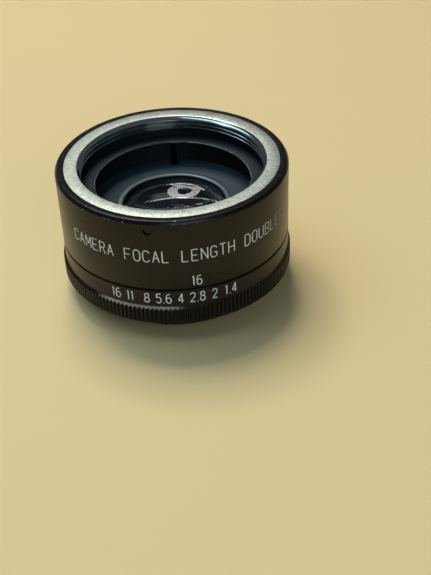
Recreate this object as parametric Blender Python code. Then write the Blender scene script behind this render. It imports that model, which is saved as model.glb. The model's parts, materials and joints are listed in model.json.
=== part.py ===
"""Screw-mount focal-length doubler with a turning f-number ring and an automatic-diaphragm linkage.

Lengths below are millimetres and become metres when a mesh is made. The optical axis is Z, with the
front mount up; the origin is on the axis, in the plane of the rear thread's end face. Bearings run from
0 degrees at -Y, where the barrel is engraved, through 90 degrees at +X.
"""
from math import asin, cos, degrees, pi, radians, sin, sqrt

import bmesh
import bpy
from mathutils import Matrix, Vector

MM = 0.001

# Fits
GAP = 0.3                      # between pieces that seat on or in each other
SLIDE_GAP = 0.15               # rod in its bush, each side
CUT = 1.0                      # how far a cutter runs past the face it opens

# Screw mount, front and rear: M42 x 1, so THREAD_R below comes to 21.0
MALE_WALL = 1.4
THREAD_PITCH = 1.0
THREAD_DEPTH = 0.54
THREAD_LEAD_IN = 0.7           # plain stretch at the open end of the female thread
LEAD_IN_CLEARANCE = 0.2        # outside the thread
FEMALE_TURNS = 2
MALE_TURNS = 3
MALE_LENGTH = 4.5              # end face to seat
SEAT_RELIEF = 0.3              # groove between the male thread and its seat, wide of the thread and deep

# Overall
SEAT_TO_FRONT = 26.3
SCALE_RING_WALL = 0.9          # of the f-number ring round the rear flange, out to the barrel's radius
KNURL_RISE = 0.5
SHELL_LENGTH = 17.0            # front face to the parting line above the f-number ring

# Front mount ring and the rim that holds it
RIM_WIDTH = 1.96               # round the mount ring
MOUNT_RING_LENGTH = 3.3
RIM_CHAMFER = 0.65
RIM_CHAMFER_WIDTH = 0.5
SET_SCREW_R = 0.65
SET_SCREW_CLEARANCE = 0.25
SET_SCREW_DEPTH = 2.3          # below the front face
SET_SCREW_BEARING = -13.5
SET_SCREW_RECESS = 0.3
SET_SCREWS = 3

# Pusher ring and its shoulder
PUSHER_INSIDE_RODS = 0.4       # its bore, inside the circle of rods
PUSHER_LEDGE = 1.4             # its rim, beyond the well
PUSHER_CLEARANCE = 0.4         # round the ring, so that it never rubs
PUSHER_THICKNESS = 0.6
PUSHER_TRAVEL = 1.5
WELL_OUTSIDE_RODS = 1.5        # wall below the pusher ring, from the circle of rods
FLOOR_DEPTH = 11.0             # below the front face
FLOOR_THICKNESS = 2.5

# Sleeve behind the floor, inside the f-number ring
SLEEVE_WALL = 3.1
BUSH_CLEARANCE = 1.0           # from the bushes' flanges to the sleeve
DRAG_GROOVE_DEPTH = 0.9
DRAG_GROOVE_HEIGHT = 1.2
DRAG_GROOVE_DROP = 0.7         # below the barrel's lower face
DRAG_SPRING_OPENING = 24.0     # degrees

# f-number ring
BAND_HEIGHT = 4.0
KNURL_CHAMFER = 0.5
RING_ABOVE_SEAT = 0.5
STOP_SCREW_R = 0.55
STOP_SCREW_BEARING = 200.0
STOP_SCREW_DROP = 2.6          # below the barrel's lower face
STOP_GROOVE_DEPTH = 1.0
RING_TURN = (-10.8, 46.0)      # degrees each way from the setting drawn here

# Rear mount
FLANGE_OVERHANG = 1.0          # beyond the sleeve
FLANGE_THICKNESS = 2.6
LIP_INSIDE_RODS = 1.6
LIP_THICKNESS = 1.1
MALE_BORE_OUTSIDE_RODS = 1.6
FLANGE_SCREWS = 4
FLANGE_SCREW_INSET = 1.3       # from the sleeve's outside
FLANGE_SCREW_R = 0.6
FLANGE_SCREW_HEAD_R = 1.2
FLANGE_SCREW_HEAD = 0.6
FLANGE_SCREW_LENGTH = 4.6
FLANGE_SCREW_BEARING = 45.0

# Rear baffle
BAFFLE_THICKNESS = 0.8
BAFFLE_SCREWS = 3
BAFFLE_SCREW_INSET = 1.2       # from the lip's bore
BAFFLE_SCREW_R = 0.5
BAFFLE_SCREW_HEAD_R = 0.95
BAFFLE_SCREW_HEAD = 0.5
BAFFLE_SCREW_LENGTH = 1.7
BAFFLE_SCREW_BEARING = 0.0

# Diaphragm linkage
ROD_R = 0.65
ROD_CLEARANCE = 0.4            # from the bushes' flanges to the lens tube's
PUSH_ROD_BEARING = 178.0
GUIDE_POSTS = 2
PIN_ABOVE_END_FACE = 0.3       # the pin's tip stops just inside the thread's end face
POST_ABOVE_FLANGE = 1.5
BUSH_WALL = 0.25
BUSH_FLANGE_R = 1.8
BUSH_FLANGE = 0.6
CLIP_R = 1.7
CLIP_THICKNESS = 0.6
CLIP_ABOVE_POST_END = 0.4
SPRING_WIRE_R = 0.2
SPRING_COIL_R = 1.1
SPRING_TURNS = 5

# Lens tube
TUBE_WALL = 0.7
TUBE_RIM_RISE = 0.2            # above the floor
TUBE_LIP_COVER = 0.25          # over the front element's edge
TUBE_LIP_THICKNESS = 0.5
TUBE_LIP_CHAMFER = 0.25
TUBE_END_ABOVE_SEAT = 0.1
TUBE_FLANGE_WIDTH = 2.8
TUBE_FLANGE_THICKNESS = 1.7
TUBE_SCREWS = 3
TUBE_SCREW_INSET = 1.5         # from the tube's outside
TUBE_SCREW_R = 0.5
TUBE_SCREW_HEAD_R = 0.95
TUBE_SCREW_HEAD = 0.5
TUBE_SCREW_LENGTH = 3.4
TUBE_SCREW_BEARING = 28.0

# Glass: edge radius, seat width, and for each element its surfaces' radii of curvature (positive when
# the centre of curvature is behind the surface), its thickness on the axis or at the edge, and its spacer
GLASS_R = 12.0
GLASS_SEAT = 2.3
FRONT_ELEMENT_CURVES = (500.0, -45.0)
FRONT_ELEMENT_THICKNESS = 2.6
FRONT_SPACER_HEIGHT = 1.1
FRONT_MIDDLE_CURVES = (-30.0, 24.0)
FRONT_MIDDLE_THICKNESS = 1.15
REAR_MIDDLE_CURVES = (24.0, -100.0)
REAR_MIDDLE_EDGE = 0.86
REAR_SPACER_HEIGHT = 0.8
REAR_ELEMENT_CURVES = (-22.0, -60.0)
REAR_ELEMENT_THICKNESS = 1.2
RETAINER_HEIGHT = 1.0
RETAINER_WALL = 2.1
RETAINER_SLOT = 1.0

# Screw driver slots
SLOT_WIDTH = 0.3
SLOT_DEPTH = 0.25

# Facets round a turn
LARGE = 48
MEDIUM = 32
SMALL = 12

# Heights above the rear thread's end face that the pieces share
SEAT_Z = MALE_LENGTH
FRONT_Z = SEAT_Z + SEAT_TO_FRONT
PARTING_Z = FRONT_Z - SHELL_LENGTH
RING_BASE_Z = SEAT_Z + RING_ABOVE_SEAT
RING_TOP_Z = PARTING_Z - GAP
FLANGE_TOP_Z = SEAT_Z + FLANGE_THICKNESS
SLEEVE_END_Z = FLANGE_TOP_Z + GAP
LIP_Z = FLANGE_TOP_Z - LIP_THICKNESS
BAFFLE_Z = LIP_Z - GAP - BAFFLE_THICKNESS
FLOOR_Z = FRONT_Z - FLOOR_DEPTH
FLOOR_UNDER_Z = FLOOR_Z - FLOOR_THICKNESS
MOUNT_RING_Z = FRONT_Z - MOUNT_RING_LENGTH
SOCKET_Z = MOUNT_RING_Z - GAP
PUSHER_TOP_Z = MOUNT_RING_Z - GAP - PUSHER_TRAVEL
PUSHER_Z = PUSHER_TOP_Z - PUSHER_THICKNESS
SHOULDER_Z = PUSHER_Z - GAP
ROD_TOP_Z = PUSHER_Z - GAP
POST_END_Z = FLANGE_TOP_Z + POST_ABOVE_FLANGE
CLIP_Z = POST_END_Z + CLIP_ABOVE_POST_END
CLIP_TOP_Z = CLIP_Z + CLIP_THICKNESS
BUSH_FLANGE_TOP_Z = FLOOR_UNDER_Z - GAP
BUSH_FLANGE_Z = BUSH_FLANGE_TOP_Z - BUSH_FLANGE
TUBE_TOP_Z = FLOOR_Z + TUBE_RIM_RISE
TUBE_FLANGE_TOP_Z = FLOOR_UNDER_Z - GAP
TUBE_FLANGE_Z = TUBE_FLANGE_TOP_Z - TUBE_FLANGE_THICKNESS
TUBE_END_Z = SEAT_Z + TUBE_END_ABOVE_SEAT
TUBE_LIP_Z = TUBE_TOP_Z - TUBE_LIP_THICKNESS
FLANGE_SCREW_Z = SEAT_Z + GAP + FLANGE_SCREW_HEAD
TUBE_SCREW_Z = TUBE_FLANGE_Z - GAP
STOP_SCREW_Z = PARTING_Z - STOP_SCREW_DROP

# Radii, from the glass outwards
CLEAR_R = GLASS_R - GLASS_SEAT
TUBE_LIP_R = GLASS_R - TUBE_LIP_COVER
TUBE_BORE_R = GLASS_R + GAP
TUBE_R = TUBE_BORE_R + TUBE_WALL
TUBE_SCREW_CIRCLE_R = TUBE_R + TUBE_SCREW_INSET
TUBE_FLANGE_R = TUBE_R + TUBE_FLANGE_WIDTH
BUSH_BORE_R = ROD_R + SLIDE_GAP
BUSH_R = BUSH_BORE_R + BUSH_WALL
ROD_CIRCLE_R = TUBE_FLANGE_R + ROD_CLEARANCE + BUSH_FLANGE_R
LIP_R = ROD_CIRCLE_R - LIP_INSIDE_RODS
BAFFLE_SCREW_CIRCLE_R = LIP_R + BAFFLE_SCREW_INSET
PUSHER_BORE_R = ROD_CIRCLE_R - PUSHER_INSIDE_RODS
WELL_R = ROD_CIRCLE_R + WELL_OUTSIDE_RODS
PUSHER_R = WELL_R + PUSHER_LEDGE
UNDERCUT_R = PUSHER_R + PUSHER_CLEARANCE
MALE_BORE_R = ROD_CIRCLE_R + MALE_BORE_OUTSIDE_RODS
BAFFLE_R = MALE_BORE_R - GAP
THREAD_R = MALE_BORE_R + MALE_WALL
LEAD_IN_R = THREAD_R + LEAD_IN_CLEARANCE
SEAT_R = THREAD_R + SEAT_RELIEF
SLEEVE_BORE_R = ROD_CIRCLE_R + BUSH_FLANGE_R + BUSH_CLEARANCE
SLEEVE_R = SLEEVE_BORE_R + SLEEVE_WALL
FLANGE_SCREW_CIRCLE_R = SLEEVE_R - FLANGE_SCREW_INSET
STOP_TIP_R = SLEEVE_R - STOP_GROOVE_DEPTH + GAP
FLANGE_R = SLEEVE_R + FLANGE_OVERHANG
RING_BORE_R = SLEEVE_R + GAP
RING_COUNTERBORE_R = FLANGE_R + GAP
BARREL_R = RING_COUNTERBORE_R + SCALE_RING_WALL
KNURL_R = BARREL_R + KNURL_RISE
RIM_FLAT_R = BARREL_R - RIM_CHAMFER_WIDTH
MOUNT_RING_R = BARREL_R - RIM_WIDTH
SOCKET_R = MOUNT_RING_R + GAP


def finish(name, colour, roughness, metallic, glassy=0.0):
    """A material of one colour, as linear red, green and blue."""
    material = bpy.data.materials.new(name)
    material.use_nodes = True
    shader = material.node_tree.nodes["Principled BSDF"]
    shader.inputs["Base Color"].default_value = (*colour, 1.0)
    shader.inputs["Roughness"].default_value = roughness
    shader.inputs["Metallic"].default_value = metallic
    shader.inputs["Transmission Weight"].default_value = glassy
    material.diffuse_color = (*colour, 1.0)
    return material


def black_anodised(name):
    return finish(name, (0.018, 0.017, 0.015), 0.38, 0.6)


def matt_black(name):
    return finish(name, (0.012, 0.014, 0.015), 0.7, 0.0)


def satin_chrome(name):
    return finish(name, (0.55, 0.57, 0.55), 0.3, 1.0)


def blued_steel(name):
    return finish(name, (0.06, 0.06, 0.065), 0.35, 1.0)


def spring_steel(name):
    return finish(name, (0.45, 0.45, 0.46), 0.25, 1.0)


def turned_brass(name):
    return finish(name, (0.6, 0.43, 0.17), 0.3, 1.0)


def optical_glass(name):
    return finish(name, (0.9, 0.93, 0.95), 0.02, 0.0, glassy=1.0)


def add_object(name, bm, make_finish, parent=None):
    """Turn a bmesh into a named, smooth-shaded object with a finish of its own."""
    mesh = bpy.data.meshes.new(name)
    bm.to_mesh(mesh)
    bm.free()
    mesh.shade_smooth()
    mesh.set_sharp_from_angle(angle=radians(30))
    piece = bpy.data.objects.new(name, mesh)
    bpy.context.scene.collection.objects.link(piece)
    if make_finish:
        mesh.materials.append(make_finish(name))
    if parent:
        piece.parent = parent
    return piece


def spun(outline, facets):
    """A bmesh of a closed outline of (radius, height) points turned once round Z."""
    bm = bmesh.new()
    verts = [bm.verts.new((r * MM, 0.0, z * MM)) for r, z in outline]
    edges = []
    for start, end in zip(verts, verts[1:] + verts[:1]):
        if start.co.x > 0.0 or end.co.x > 0.0:
            edges.append(bm.edges.new((start, end)))
    bmesh.ops.spin(bm, geom=verts + edges, axis=(0, 0, 1), cent=(0, 0, 0), angle=2 * pi,
                   steps=facets, use_merge=True)
    bmesh.ops.remove_doubles(bm, verts=bm.verts, dist=0.0001 * MM)
    bmesh.ops.recalc_face_normals(bm, faces=bm.faces)
    return bm


def swept(outline, start, sweep, steps, rise=0.0):
    """A bmesh of a flat (radius, height) outline swept by an arc, climbing by rise, with closed ends."""
    bm = bmesh.new()
    face = bm.faces.new([bm.verts.new((r * MM, 0.0, z * MM)) for r, z in outline])
    bmesh.ops.rotate(bm, verts=bm.verts, cent=(0, 0, 0), matrix=Matrix.Rotation(start, 3, "Z"))
    bmesh.ops.spin(bm, geom=[face], axis=(0, 0, 1), cent=(0, 0, 0), angle=sweep, steps=steps,
                   dvec=(0, 0, rise * MM / steps))
    bmesh.ops.recalc_face_normals(bm, faces=bm.faces)
    return bm


def turned(name, outline, make_finish, facets=LARGE, parent=None):
    return add_object(name, spun(outline, facets), make_finish, parent)


def tube_outline(inner, outer, low, high):
    return [(outer, high), (outer, low), (inner, low), (inner, high)]


def rod_outline(radius, low, high):
    return [(0.0, high), (radius, high), (radius, low), (0.0, low)]


def bearing_angle(bearing):
    """The angle from +X, in radians, of a bearing in degrees."""
    return radians(bearing - 90.0)


def on_circle(radius, bearing, z):
    """A place in metres on a circle about the axis."""
    angle = bearing_angle(bearing)
    return Vector((radius * cos(angle), radius * sin(angle), z)) * MM


def evenly(count, first):
    return [first + 360.0 * i / count for i in range(count)]


def stand_at(piece, radius, bearing, z=0.0):
    """Move a piece that was made about the axis onto a circle of the given radius."""
    piece.location = on_circle(radius, bearing, z)
    return piece


def point_outward(piece, radius, bearing, z):
    """Lay a piece that was made along Z along a radius, its top outwards."""
    stand_at(piece, radius, bearing, z)
    direction = on_circle(1.0, bearing, 0.0)
    piece.rotation_euler = direction.to_track_quat("Z", "Y").to_euler()
    return piece


def cut(piece, cutter):
    """Take a cutter's shape out of a piece and keep the cutter as a hidden guide."""
    cutter.hide_render = True
    cutter.display_type = "WIRE"
    boolean = piece.modifiers.new(cutter.name, "BOOLEAN")
    boolean.operation = "DIFFERENCE"
    boolean.solver = "EXACT"
    boolean.object = cutter


def drill(piece, label, radius, circle_r, bearing, low, high):
    """Drill a hole along Z through a piece, between two heights."""
    cutter = turned(f"{label}_cutter", rod_outline(radius, low, high), None, SMALL)
    cut(piece, stand_at(cutter, circle_r, bearing))


def drill_inward(piece, label, radius, bearing, z, inner, outer):
    """Drill a radial hole through a piece, between two radii."""
    cutter = turned(f"{label}_cutter", rod_outline(radius, 0.0, outer - inner), None, SMALL)
    cut(piece, point_outward(cutter, inner, bearing, z))


def slot_head(screw, head_r, face_z):
    """Cut a driver slot across the face of a screw whose face looks along its own -Z or +Z."""
    bm = bmesh.new()
    bmesh.ops.create_cube(bm, size=2.0 * MM)
    bmesh.ops.scale(bm, verts=bm.verts, vec=(head_r + CUT, SLOT_WIDTH / 2, SLOT_DEPTH))
    cutter = add_object(f"{screw.name}_slot_cutter", bm, None, screw)
    cutter.location = (0.0, 0.0, face_z * MM)
    cut(screw, cutter)


def headed_screw(name, circle_r, bearing, seat_z, sizes):
    """A cheese-head screw whose head lies below seat_z and whose shank points up."""
    shank_r, head_r, head, length = sizes
    outline = [(0.0, length), (shank_r, length), (shank_r, 0.0), (head_r, 0.0), (head_r, -head), (0.0, -head)]
    screw = turned(name, outline, blued_steel, SMALL)
    stand_at(screw, circle_r, bearing, seat_z)
    slot_head(screw, head_r, -head)
    return screw


def vee_thread(crest_r, root_r, top_z, turns):
    """Outline points of a vee thread's crests and roots, downwards from top_z."""
    points = []
    for turn in range(turns):
        top = top_z - turn * THREAD_PITCH
        points += [(crest_r, top), (root_r, top - THREAD_PITCH / 2)]
    return points + [(crest_r, top_z - turns * THREAD_PITCH)]


def sag(curve_r, height):
    """How far a surface of this radius of curvature falls behind its vertex at a height off the axis."""
    fall = abs(curve_r) - sqrt(curve_r * curve_r - height * height)
    return fall if curve_r > 0 else -fall


def lens(name, front_z, curves, thickness, front_reach=CLEAR_R, rings=4):
    """One glass element with its front vertex at front_z. front_reach is where its front curve ends."""
    front, rear = curves
    outline = []
    for ring in range(rings + 1):
        height = front_reach * ring / rings
        outline.append((height, front_z - sag(front, height)))
    if front_reach < GLASS_R:
        outline.append((GLASS_R, outline[-1][1]))
    rear_z = front_z - thickness
    outline.append((GLASS_R, rear_z - sag(rear, CLEAR_R)))
    for ring in range(rings, -1, -1):
        height = CLEAR_R * ring / rings
        outline.append((height, rear_z - sag(rear, height)))
    return turned(name, outline, optical_glass, MEDIUM)


def make_barrel():
    """The outer shell, its front socket, the floor round the lens tube, and the sleeve of the ring."""
    groove_z = PARTING_Z - DRAG_GROOVE_DROP
    groove_r = SLEEVE_R - DRAG_GROOVE_DEPTH
    outline = [
        (RIM_FLAT_R, FRONT_Z),
        (BARREL_R, FRONT_Z - RIM_CHAMFER),
        (BARREL_R, PARTING_Z),
        (SLEEVE_R, PARTING_Z),
        (SLEEVE_R, groove_z),
        (groove_r, groove_z),
        (groove_r, groove_z - DRAG_GROOVE_HEIGHT),
        (SLEEVE_R, groove_z - DRAG_GROOVE_HEIGHT),
        (SLEEVE_R, SLEEVE_END_Z),
        (SLEEVE_BORE_R, SLEEVE_END_Z),
        (SLEEVE_BORE_R, FLOOR_UNDER_Z),
        (TUBE_R + GAP, FLOOR_UNDER_Z),
        (TUBE_R + GAP, FLOOR_Z),
        (WELL_R, FLOOR_Z),
        (WELL_R, SHOULDER_Z),
        (UNDERCUT_R, SHOULDER_Z),
        (UNDERCUT_R, SOCKET_Z),
        (SOCKET_R, SOCKET_Z),
        (SOCKET_R, FRONT_Z),
    ]
    barrel = turned("main_barrel", outline, black_anodised)
    hole_r = SET_SCREW_R + SET_SCREW_CLEARANCE
    for i, bearing in enumerate(evenly(SET_SCREWS, SET_SCREW_BEARING), 1):
        drill_inward(barrel, f"set_screw_hole_{i}", hole_r, bearing, FRONT_Z - SET_SCREW_DEPTH,
                     SOCKET_R - GAP, BARREL_R + CUT)
    for i, bearing in enumerate(evenly(FLANGE_SCREWS, FLANGE_SCREW_BEARING), 1):
        drill(barrel, f"sleeve_hole_{i}", FLANGE_SCREW_R + GAP, FLANGE_SCREW_CIRCLE_R, bearing,
              SLEEVE_END_Z - CUT, FLANGE_SCREW_Z + FLANGE_SCREW_LENGTH + GAP)
    for i, bearing in enumerate(evenly(GUIDE_POSTS + 1, PUSH_ROD_BEARING), 1):
        drill(barrel, f"guide_hole_{i}", BUSH_R + GAP, ROD_CIRCLE_R, bearing,
              FLOOR_UNDER_Z - CUT, FLOOR_Z + CUT)
    for i, bearing in enumerate(evenly(TUBE_SCREWS, TUBE_SCREW_BEARING), 1):
        drill(barrel, f"floor_hole_{i}", TUBE_SCREW_R + GAP, TUBE_SCREW_CIRCLE_R, bearing,
              FLOOR_UNDER_Z - CUT, TUBE_SCREW_Z + TUBE_SCREW_LENGTH + GAP)
    cut_stop_groove(barrel)
    return barrel


def cut_stop_groove(barrel):
    """The groove that the ring's stop screw runs in, as long as the ring's turn and the screw's width."""
    floor_r = SLEEVE_R - STOP_GROOVE_DEPTH
    half_width = STOP_SCREW_R + GAP
    clearance = degrees(asin(half_width / floor_r))
    low, high = RING_TURN
    start = bearing_angle(STOP_SCREW_BEARING + low - clearance)
    sweep = radians(high - low + 2 * clearance)
    outline = tube_outline(floor_r, SLEEVE_R + CUT, STOP_SCREW_Z - half_width, STOP_SCREW_Z + half_width)
    cut(barrel, add_object("stop_groove_cutter", swept(outline, start, sweep, 8), None))


def make_front_mount():
    """The bright ring with the female thread, and the three grub screws that hold it."""
    root_r = THREAD_R
    crest_r = THREAD_R - THREAD_DEPTH
    thread_top = FRONT_Z - THREAD_LEAD_IN
    thread = vee_thread(crest_r, root_r, thread_top - THREAD_PITCH / 4, FEMALE_TURNS)
    outline = [(MOUNT_RING_R, FRONT_Z), (MOUNT_RING_R, MOUNT_RING_Z), (root_r, MOUNT_RING_Z)]
    outline += reversed(thread)
    outline += [(LEAD_IN_R, thread_top), (LEAD_IN_R, FRONT_Z)]
    turned("front_mount_ring", outline, satin_chrome)
    length = BARREL_R - SET_SCREW_RECESS - SOCKET_R
    for i, bearing in enumerate(evenly(SET_SCREWS, SET_SCREW_BEARING), 1):
        screw = turned(f"mount_set_screw_{i}", rod_outline(SET_SCREW_R, 0.0, length), blued_steel, SMALL)
        point_outward(screw, SOCKET_R, bearing, FRONT_Z - SET_SCREW_DEPTH)
        slot_head(screw, SET_SCREW_R, length)


def make_rear_mount():
    """The seat flange with the male thread, its screws, and the black baffle disc inside the thread."""
    root_r = THREAD_R - THREAD_DEPTH
    thread = vee_thread(root_r, THREAD_R, SEAT_Z - THREAD_PITCH / 2, MALE_TURNS)
    relief_z = SEAT_Z + SEAT_RELIEF
    outline = [(FLANGE_R, FLANGE_TOP_Z), (FLANGE_R, SEAT_Z), (SEAT_R, SEAT_Z), (SEAT_R, relief_z),
               (root_r, relief_z)]
    outline += thread
    outline += [(THREAD_R, THREAD_PITCH / 2), (root_r, 0.0), (MALE_BORE_R, 0.0), (MALE_BORE_R, LIP_Z),
                (LIP_R, LIP_Z), (LIP_R, FLANGE_TOP_Z)]
    mount = turned("rear_mount", outline, black_anodised)
    sizes = (FLANGE_SCREW_R, FLANGE_SCREW_HEAD_R, FLANGE_SCREW_HEAD, FLANGE_SCREW_LENGTH)
    for i, bearing in enumerate(evenly(FLANGE_SCREWS, FLANGE_SCREW_BEARING), 1):
        drill(mount, f"flange_hole_{i}", FLANGE_SCREW_R + GAP, FLANGE_SCREW_CIRCLE_R, bearing,
              SEAT_Z - CUT, FLANGE_TOP_Z + CUT)
        drill(mount, f"flange_counterbore_{i}", FLANGE_SCREW_HEAD_R + GAP, FLANGE_SCREW_CIRCLE_R, bearing,
              SEAT_Z - CUT, FLANGE_SCREW_Z + GAP)
        headed_screw(f"rear_mount_screw_{i}", FLANGE_SCREW_CIRCLE_R, bearing, FLANGE_SCREW_Z,
                     sizes)
    drill(mount, "lip_pin_hole", ROD_R + GAP, ROD_CIRCLE_R, PUSH_ROD_BEARING, LIP_Z - CUT,
          FLANGE_TOP_Z + CUT)

    outline = tube_outline(TUBE_R + GAP, BAFFLE_R, BAFFLE_Z, BAFFLE_Z + BAFFLE_THICKNESS)
    baffle = turned("rear_baffle", outline, matt_black)
    drill(baffle, "baffle_pin_hole", ROD_R + GAP, ROD_CIRCLE_R, PUSH_ROD_BEARING, BAFFLE_Z - CUT, LIP_Z)
    sizes = (BAFFLE_SCREW_R, BAFFLE_SCREW_HEAD_R, BAFFLE_SCREW_HEAD, BAFFLE_SCREW_LENGTH)
    for i, bearing in enumerate(evenly(BAFFLE_SCREWS, BAFFLE_SCREW_BEARING), 1):
        for piece, label in ((baffle, "baffle"), (mount, "lip")):
            drill(piece, f"{label}_hole_{i}", BAFFLE_SCREW_R + GAP, BAFFLE_SCREW_CIRCLE_R, bearing,
                  BAFFLE_Z - CUT, FLANGE_TOP_Z + CUT)
        headed_screw(f"baffle_screw_{i}", BAFFLE_SCREW_CIRCLE_R, bearing, BAFFLE_Z - GAP, sizes)


def make_lens_tube():
    """The cell that holds the glasses: its nose comes up through the floor, its flange stays below."""
    outline = [
        (TUBE_R, TUBE_TOP_Z),
        (TUBE_R, TUBE_FLANGE_TOP_Z),
        (TUBE_FLANGE_R, TUBE_FLANGE_TOP_Z),
        (TUBE_FLANGE_R, TUBE_FLANGE_Z),
        (TUBE_R, TUBE_FLANGE_Z),
        (TUBE_R, TUBE_END_Z),
        (TUBE_BORE_R, TUBE_END_Z),
        (TUBE_BORE_R, TUBE_LIP_Z),
        (TUBE_LIP_R, TUBE_LIP_Z),
        (TUBE_LIP_R, TUBE_TOP_Z - TUBE_LIP_CHAMFER),
        (TUBE_LIP_R + TUBE_LIP_CHAMFER, TUBE_TOP_Z),
    ]
    tube = turned("lens_tube", outline, black_anodised)
    sizes = (TUBE_SCREW_R, TUBE_SCREW_HEAD_R, TUBE_SCREW_HEAD, TUBE_SCREW_LENGTH)
    for i, bearing in enumerate(evenly(TUBE_SCREWS, TUBE_SCREW_BEARING), 1):
        drill(tube, f"tube_hole_{i}", TUBE_SCREW_R + GAP, TUBE_SCREW_CIRCLE_R, bearing,
              TUBE_FLANGE_Z - CUT, TUBE_FLANGE_TOP_Z + GAP / 2)
        headed_screw(f"tube_screw_{i}", TUBE_SCREW_CIRCLE_R, bearing, TUBE_SCREW_Z, sizes)


def make_glasses():
    """The four elements from the tube's lip to the rear, each seated on the one before or on a spacer."""
    front_z = TUBE_LIP_Z - GAP + sag(FRONT_ELEMENT_CURVES[0], GLASS_R)
    lens("front_element", front_z, FRONT_ELEMENT_CURVES, FRONT_ELEMENT_THICKNESS, front_reach=GLASS_R)
    rim = front_z - FRONT_ELEMENT_THICKNESS - sag(FRONT_ELEMENT_CURVES[1], CLEAR_R) - GAP

    turned("front_spacer", tube_outline(CLEAR_R + GAP, GLASS_R, rim - FRONT_SPACER_HEIGHT, rim), matt_black,
           MEDIUM)
    rim -= FRONT_SPACER_HEIGHT + GAP

    front_z = rim + sag(FRONT_MIDDLE_CURVES[0], CLEAR_R)
    lens("middle_element_front", front_z, FRONT_MIDDLE_CURVES, FRONT_MIDDLE_THICKNESS)

    front_z -= FRONT_MIDDLE_THICKNESS + GAP
    thickness = REAR_MIDDLE_EDGE + sag(REAR_MIDDLE_CURVES[0], CLEAR_R) - sag(REAR_MIDDLE_CURVES[1], CLEAR_R)
    lens("middle_element_rear", front_z, REAR_MIDDLE_CURVES, thickness)
    rim = front_z - thickness - sag(REAR_MIDDLE_CURVES[1], CLEAR_R) - GAP

    turned("rear_spacer", tube_outline(CLEAR_R + GAP, GLASS_R, rim - REAR_SPACER_HEIGHT, rim), matt_black,
           MEDIUM)
    rim -= REAR_SPACER_HEIGHT + GAP

    front_z = rim + sag(REAR_ELEMENT_CURVES[0], CLEAR_R)
    lens("rear_element", front_z, REAR_ELEMENT_CURVES, REAR_ELEMENT_THICKNESS)
    rim = front_z - REAR_ELEMENT_THICKNESS - sag(REAR_ELEMENT_CURVES[1], CLEAR_R) - GAP
    make_retainer(rim)


def make_retainer(top_z):
    """The ring that closes the tube behind the rear element, with two slots for a spanner."""
    base_z = top_z - RETAINER_HEIGHT
    ring = turned("rear_retaining_ring", tube_outline(GLASS_R - RETAINER_WALL, GLASS_R, base_z, top_z),
                  matt_black, MEDIUM)
    bm = bmesh.new()
    bmesh.ops.create_cube(bm, size=2.0 * MM)
    bmesh.ops.scale(bm, verts=bm.verts, vec=(GLASS_R + CUT, RETAINER_SLOT / 2, RETAINER_HEIGHT / 2))
    cutter = add_object("spanner_slot_cutter", bm, None)
    cutter.location = (0.0, 0.0, base_z * MM)
    cut(ring, cutter)


def make_scale_ring():
    """The f-number ring with its stop screw, on an empty at its axis, and the split drag spring."""
    axis = bpy.data.objects.new("scale_ring_axis", None)
    bpy.context.scene.collection.objects.link(axis)
    band_z = RING_TOP_Z - BAND_HEIGHT
    outline = [
        (BARREL_R, RING_TOP_Z),
        (BARREL_R, band_z),
        (KNURL_R, band_z - KNURL_CHAMFER),
        (KNURL_R, RING_BASE_Z),
        (RING_COUNTERBORE_R, RING_BASE_Z),
        (RING_COUNTERBORE_R, SLEEVE_END_Z),
        (RING_BORE_R, SLEEVE_END_Z),
        (RING_BORE_R, RING_TOP_Z),
    ]
    ring = turned("scale_ring", outline, black_anodised, parent=axis)
    drill_inward(ring, "stop_screw_hole", STOP_SCREW_R + GAP, STOP_SCREW_BEARING, STOP_SCREW_Z,
                 SLEEVE_R, BARREL_R + CUT)
    length = BARREL_R - GAP - STOP_TIP_R
    screw = turned("ring_stop_screw", rod_outline(STOP_SCREW_R, 0.0, length), blued_steel, SMALL, axis)
    point_outward(screw, STOP_TIP_R, STOP_SCREW_BEARING, STOP_SCREW_Z)
    slot_head(screw, STOP_SCREW_R, length)

    top = PARTING_Z - DRAG_GROOVE_DROP - GAP
    base = top - (DRAG_GROOVE_HEIGHT - 2 * GAP)
    outline = tube_outline(SLEEVE_R - DRAG_GROOVE_DEPTH + GAP, SLEEVE_R, base, top)
    start = bearing_angle(DRAG_SPRING_OPENING / 2)
    sweep = radians(360.0 - DRAG_SPRING_OPENING)
    add_object("ring_drag_spring", swept(outline, start, sweep, LARGE), spring_steel)


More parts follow.
